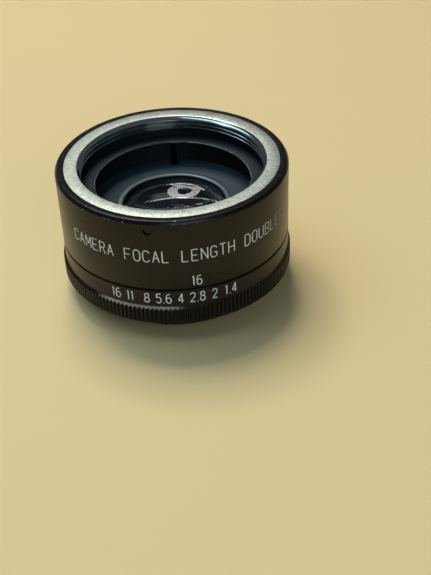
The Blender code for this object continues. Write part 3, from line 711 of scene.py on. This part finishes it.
def length(name, description, default):
    return FloatProperty(name=name, description=description, default=default * MM, min=0.0,
                         subtype="DISTANCE", unit="LENGTH", precision=5)


def hue(name, description, default):
    return FloatVectorProperty(name=name, description=description, default=linear(default), size=3, min=0.0,
                               max=1.0, subtype="COLOR")


class DoublerSizes(bpy.types.PropertyGroup):
    """Sizes of the fine detail."""
    edge_ease: length("Edge ease", "Rounding of the turned edges", 0.08)
    thread_pitch: length("Thread pitch", "Pitch of the front and rear screw mounts", 1.0)
    thread_depth: length("Thread depth", "Depth of the screw mounts' threads", 0.54)
    knurl_depth: length("Knurl depth", "Depth of the grooves round the f-number ring", 0.4)
    letter_height: length("Letter height", "Cap height of the engraving on the barrel", 2.8)
    letter_width: length("Letter width", "Width of a letter on the barrel", 1.38)
    letter_gap: length("Letter gap", "Gap between letters on the barrel", 0.66)
    word_gap: length("Word gap", "Gap between words on the barrel", 2.1)
    numeral_height: length("Numeral height", "Height of the f-numbers", 2.4)
    numeral_width: length("Numeral width", "Width of a numeral", 1.05)
    numeral_gap: length("Numeral gap", "Gap between the numerals of one f-number", 0.42)
    stroke: length("Stroke", "Width of an engraved stroke", 0.29)
    knurl_ribs: IntProperty(name="Knurl ribs", description="Ribs round the f-number ring", default=168,
                            min=12)


class DoublerColours(bpy.types.PropertyGroup):
    """Colours of the finishes."""
    anodised: hue("Anodised black", "Aluminium anodised black", "#0a0805")
    bare: hue("Bare metal", "Aluminium where the black has worn off", "#cfd2ce")
    chrome: hue("Satin chrome", "Plating of the front mount ring", "#c3ccc2")
    # Its blue-green tint paints the window's cool light seen on the well's floor.
    lacquer: hue("Flat black", "Lacquer inside the well", "#22353c")
    paint: hue("Engraving paint", "White enamel in the engraving", "#eef1f3")
    coating: hue("Front coating", "Tint of the front glass's reflections", "#c6c9d8")
    bloom: hue("Inner coating", "Tint of the inner glasses' reflections", "#10131f")
    blued: hue("Blued steel", "Screws and clips", "#3a3c42")
    steel: hue("Spring steel", "Rods and springs", "#a9aaac")
    brass: hue("Brass", "Guide bushes", "#c9a35a")
    cell: hue("Cell black", "Worn black of the lens tube's rim", "#67757b")
    oxide: hue("Black oxide", "Blackened rods in the well", "#08090b")
    floor: hue("Floor", "Plain floor", "#e5cf96")
    sky: hue("Surroundings", "Light from all round", "#484f58")


class DoublerStudio(bpy.types.PropertyGroup):
    """Camera and lamps."""
    window_power: FloatProperty(name="Window power", description="Power of the large cool lamp at the left",
                                default=3.0, min=0.0, unit="POWER")
    fill_power: FloatProperty(name="Fill power", description="Power of the lamp on the engraved side",
                              default=1.5, min=0.0, unit="POWER")
    ceiling_power: FloatProperty(name="Ceiling power", description="Power of the small lamp overhead",
                                 default=4.0, min=0.0, unit="POWER")
    ring_lamp_strength: FloatProperty(name="Ring lamp strength", default=14.0, min=0.0,
                                      description="Glow of the round lamp overhead")
    focal_length: FloatProperty(name="Focal length", description="Focal length of the camera's lens",
                                default=62.65, min=1.0, unit="CAMERA")


def settings(context):
    scene = context.scene
    return scene.doubler_sizes, scene.doubler_colours


# Operators

FRONT = top("main_barrel")
BARREL_R = outer("main_barrel")
RING_TOP = top("scale_ring")
PARTING = RING_TOP + PARTING_GAP
WORDS = ("CAMERA FOCAL LENGTH DOUBLER", -56.7, 9.85)      # text, first bearing, depth of its foot
INDEX = ("16", 6.0, 16.1)
INDEX_LINE = (13.5, 16.5, 2.4)    # bearing, depth of its foot, height; its paint is gone
F_NUMBERS = (("16", -31.9), ("11", -24.4), ("8", -16.15), ("5.6", -8.1), ("4", 0.05), ("2.8", 8.05),
             ("2", 16.4), ("1.4", 24.9))      # text, bearing of its middle
NUMERAL_DEPTH = 20.45             # of its foot, below the front


class DOUBLER_OT_barrel(bpy.types.Operator):
    """Model the barrel with its well, sleeve, rim and engraving"""
    bl_idname = "doubler.barrel"
    bl_label = "Barrel"

    def execute(self, context):
        sizes, colours = settings(context)
        floor = FRONT - FLOOR_DEPTH
        under = floor - FLOOR_THICKNESS
        shoulder = bottom("pusher_ring") - SHOULDER_DROP
        socket_r = outer("front_mount_ring") + SEAM
        socket = bottom("front_mount_ring") - SEAM
        groove_drop, groove_height, groove_depth = DRAG_GROOVE
        groove = PARTING - groove_drop
        rim_r = BARREL_R - RIM_CHAMFER_WIDTH
        sleeve_end = bottom("main_barrel")
        outline = [
            (rim_r, FRONT),
            (BARREL_R, FRONT - RIM_CHAMFER),
            (BARREL_R, PARTING + PARTING_CHAMFER),
            (BARREL_R - PARTING_CHAMFER, PARTING),
            (SLEEVE_R, PARTING),
            (SLEEVE_R, groove),
            (SLEEVE_R - groove_depth, groove),
            (SLEEVE_R - groove_depth, groove - groove_height),
            (SLEEVE_R, groove - groove_height),
            (SLEEVE_R, sleeve_end),
            (SLEEVE_BORE_R, sleeve_end),
            (SLEEVE_BORE_R, under),
            (TUBE_R + SEAM, under),
            (TUBE_R + SEAM, floor),
            (WELL_R, floor),
            (WELL_R, shoulder),
            (UNDERCUT_R, shoulder),
            (UNDERCUT_R, socket),
            (socket_r, socket),
            (socket_r, FRONT),
        ]
        barrel = turned("engraved_barrel", outline, ease=sizes.edge_ease / MM)
        for i in range(3):
            drill_inward(barrel, SET_SCREW_HOLE_R, SET_SCREW_BEARING + THIRD_TURN * i, FRONT - SET_SCREW_DROP,
                         socket_r - PAST / 2, BARREL_R + PAST)
        for i in range(3):
            drill(barrel, bush_hole(), ROD_CIRCLE_R, ROD_BEARING + THIRD_TURN * i, under - PAST, floor + PAST)
        text, start, foot = WORDS
        marks = line_of_type(text, start, FRONT - foot, sizes.letter_width / MM, sizes.letter_height / MM,
                             sizes.letter_gap / MM, sizes.word_gap / MM, BARREL_R)
        text, start, foot = INDEX
        marks += line_of_type(text, start, FRONT - foot, sizes.numeral_width / MM, sizes.numeral_height / MM,
                              sizes.numeral_gap / MM, 0.0, BARREL_R)
        paint = aged_paint("paint_in_barrel", colours)
        engrave(barrel, marks, BARREL_R, sizes.stroke / MM, paint)
        lacquer = matt_black("flat_black_floor", colours)
        # The lacquer darkened to 0.12, a painted shade for the well's walls and undersides.
        painted_shade_black = matt_black("flat_black_wall_painted_shade", colours, depth=0.12)
        # The index groove, its paint gone, takes the same darkened black: its own black with painted shade in
        # the groove.
        start, foot, height = INDEX_LINE
        line = line_of_type("1", start, FRONT - foot, sizes.numeral_width / MM, height, 0.0, 0.0, BARREL_R)
        engrave(barrel, line, BARREL_R, sizes.stroke / MM, painted_shade_black)
        # Bare patches on the rim's chamfer over bearings about -82 to +38, where the light falls: partly use,
        # partly a painted highlight.
        edges = [(rim_r, FRONT), (BARREL_R, FRONT - RIM_CHAMFER)]
        skin = black_anodised("black_anodised_barrel", colours, edges, ease=0.12, cover=0.63, middle=-22.0,
                              reach=60.0)
        stands_for(barrel, "main_barrel", "barrel_black", skin, paint, painted_shade_black, lacquer)
        slots = barrel.data.materials
        # The well's walls and undersides get the darkened black as painted shade; the floor facing up keeps
        # the full lacquer.
        give_faces(barrel, slots.find(painted_shade_black.name), lambda middle, normal:
                   hypot(middle.x, middle.y) < UNDERCUT_R + SEAM and middle.z > under - SEAM)
        give_faces(barrel, slots.find(lacquer.name), lambda middle, normal:
                   normal.z > 0.5 and hypot(middle.x, middle.y) < WELL_R and middle.z > under)
        return {"FINISHED"}


def bush_hole():
    """Radius of the guide bushes' holes in the floor."""
    low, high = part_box("guide_bush_1")
    return (high.x - low.x) / 2 / MM - BUSH_FLANGE_WIDTH + SEAM


class DOUBLER_OT_front_mount(bpy.types.Operator):
    """Model the bright ring with its female thread, and the grub screws that hold it"""
    bl_idname = "doubler.front_mount"
    bl_label = "Front mount"

    def execute(self, context):
        sizes, colours = settings(context)
        pitch, depth = sizes.thread_pitch / MM, sizes.thread_depth / MM
        crest_r = THREAD_R - depth
        ring_r, base = outer("front_mount_ring"), bottom("front_mount_ring")
        outline = [
            (ring_r, FRONT), (ring_r, base), (THREAD_R, base), (crest_r, base + depth),
            (crest_r, FRONT - LEAD_IN - LEAD_IN_EASE), (crest_r + LEAD_IN_EASE, FRONT - LEAD_IN),
            (LEAD_IN_R, FRONT),
        ]
        ring = turned("threaded_front_ring", outline, ease=0.06)
        groove = vee(THREAD_R, crest_r - THREAD_OVERCUT, pitch)
        thread = helix("thread_cutter", groove, pitch, THREAD_TURNS, FINE)
        place(thread, Matrix.Translation((0, 0, (base - FRONT_RUN_IN * pitch) * MM)))
        cut(ring, thread)
        satin = satin_chrome("satin_chrome_ring", colours)
        bright = machined("turned_chrome_thread", colours.chrome, roughness=0.12, strength=0.05)
        stands_for(ring, "front_mount_ring", "mount_chrome", satin, bright)
        give_faces(ring, ring.data.materials.find(bright.name),
                   lambda middle, normal: hypot(middle.x, middle.y) < LEAD_IN_R + SEAM)

        low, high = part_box("mount_set_screw_1")
        radius = (high.z - low.z) / 2 / MM
        inner = outer("front_mount_ring") + SEAM
        length = BARREL_R - SET_SCREW_SUNK - inner
        steel = blued_steel("blued_steel_set_screw", colours)
        first = turned("set_screw_1", rod(radius, 0.0, length, GRUB_CHAMFER), SMALL)
        slot_top(first, radius, length, 35.0)
        point_outward(first, inner, SET_SCREW_BEARING, FRONT - SET_SCREW_DROP)
        screws = [first] + [copy_round(first, f"set_screw_{i}", THIRD_TURN * (i - 1)) for i in (2, 3)]
        for i, screw in enumerate(screws, 1):
            stands_for(screw, f"mount_set_screw_{i}", "screw_blued", steel)
        return {"FINISHED"}


class DOUBLER_OT_scale_ring(bpy.types.Operator):
    """Model the knurled ring with its f-numbers, and its stop screw"""
    bl_idname = "doubler.scale_ring"
    bl_label = "f-number ring"

    def execute(self, context):
        sizes, colours = settings(context)
        ribs, depth = sizes.knurl_ribs, sizes.knurl_depth / MM
        knurl_r, base = outer("scale_ring"), bottom("scale_ring")
        band = RING_TOP - BAND_HEIGHT
        crest = band - KNURL_RISE
        root_r = knurl_r - depth
        step = top("rear_mount") + PARTING_GAP
        outline = [
            (BARREL_R - PARTING_CHAMFER, RING_TOP), (BARREL_R, RING_TOP - PARTING_CHAMFER), (BARREL_R, band),
            (root_r, band - (root_r - BARREL_R)), (knurl_r, crest), (knurl_r, base + KNURL_CHAMFER),
            (knurl_r - KNURL_CHAMFER, base), (RING_COUNTERBORE_R, base), (RING_COUNTERBORE_R, step),
            (RING_BORE_R, step), (RING_BORE_R, RING_TOP),
        ]
        ring = turned("numbered_ring", outline, 4 * ribs)
        pitch = 2 * pi / ribs

        def in_groove(point):
            if hypot(point.x, point.y) < knurl_r - NEAR:
                return False
            turn = Vector((0.0, -1.0)).angle_signed(Vector((point.x, point.y)))
            return round(turn / pitch * 4) % 4 in (1, 2)

        select_points(ring, in_groove)
        scale = root_r / knurl_r
        bpy.ops.transform.resize(value=(scale, scale, 1.0), center_override=(0, 0, 0))
        bpy.ops.object.mode_set(mode="OBJECT")
        _, _, screw_z = off_axis("ring_stop_screw")
        drill_inward(ring, STOP_SCREW_HOLE_R, STOP_SCREW_BEARING, screw_z, RING_BORE_R - PAST / 2,
                     BARREL_R + PAST)
        marks = []
        for text, middle in F_NUMBERS:
            width, gap = sizes.numeral_width / MM, sizes.numeral_gap / MM
            row = line_of_type(text, 0.0, FRONT - NUMERAL_DEPTH, width, sizes.numeral_height / MM, gap, 0.0,
                               BARREL_R)
            span = sum(SLIM.get(c, 1.0) * width for c in text) + gap * (len(text) - 1)
            start = middle - span / 2 / BARREL_R * 180.0 / pi
            marks += [(s, b + start, z, w, h) for s, b, z, w, h in row]
        paint = aged_paint("paint_in_ring", colours)
        engrave(ring, marks, BARREL_R, sizes.stroke / MM, paint)
        # Dense bare metal on the knurl's top chamfer over bearings about -45 to +3: a painted highlight where
        # the light catches the teeth.
        edges = [(knurl_r - 0.15, crest + 0.15)]
        skin = black_anodised("black_anodised_ring", colours, edges, ease=0.5, cover=0.3, middle=-21.0,
                              reach=24.0)
        stands_for(ring, "scale_ring", "barrel_black", skin, paint)

        low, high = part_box("ring_stop_screw")
        screw_r = (high.z - low.z) / 2 / MM
        tip = SLEEVE_R - STOP_SCREW_REACH
        length = BARREL_R - STOP_SCREW_SUNK - tip
        screw = turned("stop_screw", rod(screw_r, 0.0, length, GRUB_CHAMFER), SMALL)
        slot_top(screw, screw_r, length, 20.0)
        point_outward(screw, tip, STOP_SCREW_BEARING, screw_z)
        stands_for(screw, "ring_stop_screw", "screw_blued", blued_steel("blued_steel_stop_screw", colours))
        return {"FINISHED"}


def cheese_head(name, shank_r, head_r, head, length):
    """A slotted cheese-head screw, head down: its seat at height 0, its shank up."""
    outline = [(0.0, length), (shank_r, length), (shank_r, 0.0), (head_r, 0.0),
               (head_r, -head + SCREW_CHAMFER), (head_r - SCREW_CHAMFER, -head), (0.0, -head)]
    screw = turned(name, outline, SMALL)
    slot_top(screw, head_r, -head, 25.0)
    return screw


def place_screws(node_stem, name_stem, count, sizes, material):
    """Model one screw at its first node's place and copy it round to the others."""
    shank_r, head_r, head, length = sizes
    radius, bearing, _ = off_axis(f"{node_stem}_1")
    seat = bottom(f"{node_stem}_1") + head
    first = stand(cheese_head(f"{name_stem}_1", shank_r, head_r, head, length), radius, bearing, seat)
    screws = [first]
    for i in range(1, count):
        screws.append(copy_round(first, f"{name_stem}_{i + 1}", 360.0 * i / count))
    for i, screw in enumerate(screws, 1):
        stands_for(screw, f"{node_stem}_{i}", "screw_blued", material)


class DOUBLER_OT_rear_mount(bpy.types.Operator):
    """Model the seat flange with its male thread, its screws and the baffle inside it"""
    bl_idname = "doubler.rear_mount"
    bl_label = "Rear mount"

    def execute(self, context):
        sizes, colours = settings(context)
        pitch, depth = sizes.thread_pitch / MM, sizes.thread_depth / MM
        root_r = THREAD_R - depth
        relief, crests = MALE_RELIEF
        flange_r, high = outer("rear_mount"), top("rear_mount")
        seat = MALE_LENGTH
        lip = high - LIP_THICKNESS
        outline = [
            (flange_r, high), (flange_r, seat), (SEAT_R, seat), (SEAT_R, seat + SEAT_RELIEF),
            (root_r, seat + SEAT_RELIEF), (root_r, seat - relief), (THREAD_R, seat - crests),
            (THREAD_R, depth), (root_r, 0.0), (MALE_BORE_R, 0.0), (MALE_BORE_R, lip), (LIP_R, lip),
            (LIP_R, high),
        ]
        mount = turned("threaded_rear_mount", outline, ease=0.05)
        groove = vee(root_r, THREAD_R + THREAD_OVERCUT, pitch)
        thread = helix("thread_cutter", groove, pitch, THREAD_TURNS, FINE)
        place(thread, Matrix.Translation((0, 0, -REAR_RUN_IN * pitch * MM)))
        cut(mount, thread)
        radius, bearing, _ = off_axis("rear_mount_screw_1")
        head_low = bottom("rear_mount_screw_1")
        for i in range(4):
            turn = bearing + QUARTER_TURN * i
            drill(mount, HEAD_HOLE_R, radius, turn, seat - PAST, head_low + HEAD_HOLE_DEPTH)
            drill(mount, SHANK_HOLE_R, radius, turn, seat - PAST, high + PAST)
        drill(mount, ROD_R + ROD_HOLE_EASE, ROD_CIRCLE_R, ROD_BEARING, lip - PAST, high + PAST)
        edges = [(THREAD_R, seat - crests), (THREAD_R, depth), (flange_r, seat)]
        skin = black_anodised("black_anodised_mount", colours, edges, ease=0.12)
        stands_for(mount, "rear_mount", "barrel_black", skin)

        low, high = bottom("rear_baffle"), top("rear_baffle")
        disc = tube(BAFFLE_BORE_R, outer("rear_baffle") + BAFFLE_EASE, low, high)
        baffle = turned("baffle_disc", disc, ease=0.06)
        drill(baffle, ROD_R + ROD_HOLE_EASE, ROD_CIRCLE_R, ROD_BEARING, low - PAST, high + PAST)
        stands_for(baffle, "rear_baffle", "matt_black", matt_black("flat_black_baffle", colours))

        steel = blued_steel("blued_steel_screw", colours)
        place_screws("rear_mount_screw", "flange_screw", 4, FLANGE_SCREW, steel)
        place_screws("baffle_screw", "disc_screw", 3, BAFFLE_SCREW, steel)
        return {"FINISHED"}


class DOUBLER_OT_lens_tube(bpy.types.Operator):
    """Model the lens tube with its retaining ring, spacers and screws"""
    bl_idname = "doubler.lens_tube"
    bl_label = "Lens tube"

    def execute(self, context):
        colours = context.scene.doubler_colours
        high, low = top("lens_tube"), bottom("lens_tube")
        flange_r = outer("lens_tube")
        flange_top = FRONT - FLOOR_DEPTH - FLOOR_THICKNESS - SEAM
        flange = flange_top - TUBE_FLANGE_THICKNESS
        lip = high - TUBE_LIP_THICKNESS
        outline = [
            (TUBE_R, high), (TUBE_R, flange_top), (flange_r, flange_top), (flange_r, flange),
            (TUBE_R, flange), (TUBE_R, low), (TUBE_BORE_R, low), (TUBE_BORE_R, lip), (TUBE_LIP_R, lip),
            (TUBE_LIP_R, high - TUBE_LIP_CHAMFER), (TUBE_LIP_R + TUBE_LIP_CHAMFER, high),
        ]
        tube_piece = turned("lens_cell", outline, ease=0.06)
        skin = black_anodised("black_anodised_cell", colours)
        rim = machined("worn_black_rim", colours.cell, roughness=0.4)
        stands_for(tube_piece, "lens_tube", "barrel_black", skin, rim)
        give_faces(tube_piece, 1, lambda middle, normal: middle.z > high - TUBE_LIP_CHAMFER - SEAM)

        base, rim_z = bottom("rear_retaining_ring"), top("rear_retaining_ring")
        section = tube(GLASS_R - RETAINER_WIDTH, GLASS_R + RETAINER_THREAD, base, rim_z)
        ring = turned("spanner_ring", section, ease=0.05)
        mill(ring, SPANNER_SLOT, base)
        stands_for(ring, "rear_retaining_ring", "matt_black", matt_black("flat_black_retainer", colours))

        lacquer = matt_black("flat_black_spacer", colours)
        for node in ("front_spacer", "rear_spacer"):
            section = tube(CLEAR_R + SPACER_RELIEF, GLASS_R, bottom(node), top(node))
            spacer = turned(f"{node}_ring", section, GLASS_FACETS, ease=0.05)
            stands_for(spacer, node, "matt_black", lacquer)
        steel = blued_steel("blued_steel_cell_screw", colours)
        place_screws("tube_screw", "cell_screw", 3, CELL_SCREW, steel)
        return {"FINISHED"}


def sag(curve_r, height):
    """How far a surface falls behind its vertex at a height off the axis."""
    fall = abs(curve_r) - sqrt(curve_r * curve_r - height * height)
    return fall if curve_r > 0 else -fall


class DOUBLER_OT_glasses(bpy.types.Operator):
    """Model the four glass elements, polished faces and blackened edges"""
    bl_idname = "doubler.glasses"
    bl_label = "Glasses"

    def execute(self, context):
        colours = context.scene.doubler_colours
        coated = coated_glass("coated_front_glass", colours.coating, GLASS_IOR)
        bloomed = coated_glass("bloomed_glass", colours.bloom, BLOOMED_IOR)
        edge_black = matt_black("blackened_glass_edge", colours)
        for node, (front, rear) in ELEMENTS.items():
            reach = GLASS_R if node == "front_element" else CLEAR_R
            high = top(node) if front > 0 else top(node) + sag(front, reach)
            low = bottom(node) if rear < 0 else bottom(node) + sag(rear, CLEAR_R)
            outline = [(0.0, high)]
            for i in range(1, GLASS_RINGS + 1):
                radius = reach * i / GLASS_RINGS
                outline.append((radius, high - sag(front, radius)))
            if reach < GLASS_R:
                outline.append((GLASS_R, outline[-1][1]))
            outline.append((GLASS_R, low - sag(rear, CLEAR_R)))
            for i in range(GLASS_RINGS, -1, -1):
                radius = CLEAR_R * i / GLASS_RINGS
                outline.append((radius, low - sag(rear, radius)))
            element = turned(f"{node}_glass", outline, GLASS_FACETS)
            glass = coated if node == "front_element" else bloomed
            stands_for(element, node, "optical_glass", glass, edge_black)
            give_faces(element, 1, lambda middle, normal: hypot(middle.x, middle.y) > reach - NEAR
                       and (abs(normal.z) < 0.5 or reach < GLASS_R))
        return {"FINISHED"}


class DOUBLER_OT_linkage(bpy.types.Operator):
    """Model the pusher ring, push rod, guide posts, clips and bushes, and finish the springs"""
    bl_idname = "doubler.linkage"
    bl_label = "Diaphragm linkage"

    def execute(self, context):
        colours = context.scene.doubler_colours
        low, high = bottom("pusher_ring"), top("pusher_ring")
        pusher = turned("pusher_disc", tube(PUSHER_BORE_R, outer("pusher_ring"), low, high), ease=0.1)
        # The pusher's lacquer is darkened to 0.4 as painted shade, and greyed in patches along its inner edge
        # as a painted highlight.
        lacquer = matt_black("flat_black_pusher_shade_highlight", colours, [(PUSHER_BORE_R, high)], ease=0.2, depth=0.4)
        stands_for(pusher, "pusher_ring", "matt_black", lacquer)

        steel = machined("black_oxide_rod", colours.oxide, roughness=0.4)
        blued = blued_steel("blued_steel_clip", colours)
        brass = machined("turned_brass_bush", colours.brass, roughness=0.3)
        for i, node in enumerate(("push_rod", "guide_post_1", "guide_post_2"), 1):
            bearing = ROD_BEARING + THIRD_TURN * (i - 1)
            bar = turned(f"{node}_bar", rod(ROD_R, bottom(node), top(node), ease=0.15), SMALL)
            stand(bar, ROD_CIRCLE_R, bearing)
            stands_for(bar, node, "spring_steel", steel)
            node = f"rod_clip_{i}"
            clip = turned(f"clip_{i}", tube(ROD_R, CLIP_R, bottom(node), top(node)), SMALL, ease=0.05)
            stand(clip, ROD_CIRCLE_R, bearing)
            stands_for(clip, node, "screw_blued", blued)
            node = f"guide_bush_{i}"
            base, rim = bottom(node), top(node)
            bush_r = bush_hole() - SEAM
            flange = base + BUSH_FLANGE_HEIGHT
            bore_r = ROD_R + BUSH_EASE
            outline = [(bush_r, rim), (bush_r, flange), (BUSH_FLANGE_R, flange), (BUSH_FLANGE_R, base),
                       (bore_r, base), (bore_r, rim)]
            bush = turned(f"bush_{i}", outline, SMALL, ease=0.04)
            stand(bush, ROD_CIRCLE_R, bearing)
            stands_for(bush, node, "bush_brass", brass)
        spring_finish = machined("spring_wire", colours.steel, roughness=0.2)
        for node in ("return_spring_1", "return_spring_2", "return_spring_3", "ring_drag_spring"):
            wire = frame["nodes"][node]
            wire.data.materials.clear()
            wire.data.materials.append(spring_finish)
        return {"FINISHED"}


FLOOR_R = 2.0
CAMERA_DISTANCE = 0.225172     # from the middle of the front ring's face
CAMERA_ELEVATION = 0.50722
CAMERA_YAW = 0.04382
CAMERA_PITCH = 0.63673
CAMERA_ROLL = 0.04025
RING_LAMP_R = 0.19
RING_LAMP_OPEN_R = 0.08
RING_LAMP_PLACE = (-162.2, 62.3, 0.82)   # bearing, elevation, distance in metres


class DOUBLER_OT_stage(bpy.types.Operator):
    """Set out the floor, the lamps and the camera"""
    bl_idname = "doubler.stage"
    bl_label = "Stage"

    def execute(self, context):
        colours, studio = context.scene.doubler_colours, context.scene.doubler_studio
        start_clean()
        bpy.ops.mesh.primitive_circle_add(vertices=96, radius=FLOOR_R, fill_type="NGON", location=(0, 0, 0))
        floor = context.object
        floor.name = "floor"
        # Matt painted board
        board, *_ = new_finish("matt_board", colours.floor, 0.7)
        floor.data.materials.append(board)

        world = bpy.data.worlds.new("surroundings")
        context.scene.world = world
        world.use_nodes = True
        background = world.node_tree.nodes["Background"]
        background.inputs["Color"].default_value = (*colours.sky, 1.0)
        background.inputs["Strength"].default_value = 1.0

        self.add_lamp(context, "window", (-0.38, 0.1, 0.78), 0.7, studio.window_power, (0.6, 0.81, 1.0))
        self.add_lamp(context, "fill", (0.15, -0.75, 0.45), 0.5, studio.fill_power, (0.78, 0.89, 1.0))
        key = self.add_lamp(context, "ceiling", (-0.056, 0.267, 0.858), 0.12, studio.ceiling_power,
                            (1.0, 0.98, 0.94))
        # The round lamp alone gives the highlights on this side
        key.visible_glossy = key.visible_transmission = False
        self.add_ring_lamp(context, studio.ring_lamp_strength)

        camera = bpy.data.cameras.new("camera")
        camera.lens = studio.focal_length
        camera.sensor_width = 36.0
        camera.clip_start = 0.01
        holder = bpy.data.objects.new("camera", camera)
        context.scene.collection.objects.link(holder)
        back = CAMERA_DISTANCE * cos(CAMERA_ELEVATION)
        up = FRONT * MM + CAMERA_DISTANCE * sin(CAMERA_ELEVATION)
        holder.matrix_world = (Matrix.Translation((0.0, -back, up)) @ Matrix.Rotation(-CAMERA_YAW, 4, "Z")
                               @ Matrix.Rotation(pi / 2 - CAMERA_PITCH, 4, "X")
                               @ Matrix.Rotation(-CAMERA_ROLL, 4, "Z"))
        context.scene.camera = holder
        context.scene.view_settings.view_transform = "Standard"
        return {"FINISHED"}

    def add_ring_lamp(self, context, strength):
        """A round lamp with an open middle, which the inner face of the front glass mirrors."""
        start_clean()
        bpy.ops.mesh.primitive_circle_add(vertices=64, radius=RING_LAMP_R, fill_type="NGON",
                                          location=(0, 0, 0))
        lamp = context.object
        lamp.name = "ring_lamp"
        bpy.ops.object.mode_set(mode="EDIT")
        bpy.ops.mesh.select_all(action="SELECT")
        bpy.ops.mesh.inset(thickness=RING_LAMP_R - RING_LAMP_OPEN_R, depth=0.0)
        bpy.ops.mesh.delete(type="FACE")
        bpy.ops.object.mode_set(mode="OBJECT")
        bearing, elevation, distance = RING_LAMP_PLACE
        out = Vector((sin(radians(bearing)) * cos(radians(elevation)),
                      -cos(radians(bearing)) * cos(radians(elevation)), sin(radians(elevation))))
        lamp.location = out * distance
        lamp.rotation_euler = out.to_track_quat("Z", "Y").to_euler()
        # Warm white diffuser, lit evenly
        glow = bpy.data.materials.new("lamp_glow")
        glow.use_nodes = True
        tree = glow.node_tree
        tree.nodes.remove(tree.nodes["Principled BSDF"])
        light = add_node(tree, "Emission", {"Color": (1.0, 0.92, 0.83, 1.0), "Strength": strength})
        tree.links.new(light.outputs["Emission"], tree.nodes["Material Output"].inputs["Surface"])
        lamp.data.materials.append(glow)

    def add_lamp(self, context, name, location, size, power, colour):
        lamp = bpy.data.lights.new(name, "AREA")
        lamp.shape = "SQUARE"
        lamp.size = size
        lamp.energy = power
        lamp.color = colour
        holder = bpy.data.objects.new(name, lamp)
        holder.location = location
        holder.rotation_euler = (-Vector(location)).to_track_quat("-Z", "Y").to_euler()
        context.scene.collection.objects.link(holder)
        return holder


OPERATORS = (DOUBLER_OT_barrel, DOUBLER_OT_front_mount, DOUBLER_OT_scale_ring, DOUBLER_OT_rear_mount,
             DOUBLER_OT_lens_tube, DOUBLER_OT_glasses, DOUBLER_OT_linkage, DOUBLER_OT_stage)


class DOUBLER_PT_panel(bpy.types.Panel):
    """Settings and steps of the doubler"""
    bl_label = "Focal-length doubler"
    bl_idname = "DOUBLER_PT_panel"
    bl_space_type = "VIEW_3D"
    bl_region_type = "UI"
    bl_category = "Doubler"

    def draw(self, context):
        scene = context.scene
        for group in (scene.doubler_sizes, scene.doubler_colours, scene.doubler_studio):
            box = self.layout.box()
            for name in group.__annotations__:
                box.prop(group, name)
        for operator in OPERATORS:
            self.layout.operator(operator.bl_idname)


GROUPS = {"doubler_sizes": DoublerSizes, "doubler_colours": DoublerColours, "doubler_studio": DoublerStudio}


def register():
    for group in GROUPS.values():
        bpy.utils.register_class(group)
    for name, group in GROUPS.items():
        setattr(bpy.types.Scene, name, PointerProperty(type=group))
    for operator in OPERATORS:
        bpy.utils.register_class(operator)
    bpy.utils.register_class(DOUBLER_PT_panel)


def unregister():
    bpy.utils.unregister_class(DOUBLER_PT_panel)
    for operator in reversed(OPERATORS):
        bpy.utils.unregister_class(operator)
    for name in GROUPS:
        delattr(bpy.types.Scene, name)
    for group in reversed(GROUPS.values()):
        bpy.utils.unregister_class(group)


def main():
    register()
    for operator in OPERATORS:
        group, step = operator.bl_idname.split(".")
        getattr(getattr(bpy.ops, group), step)()


if __name__ == "__main__":
    main()
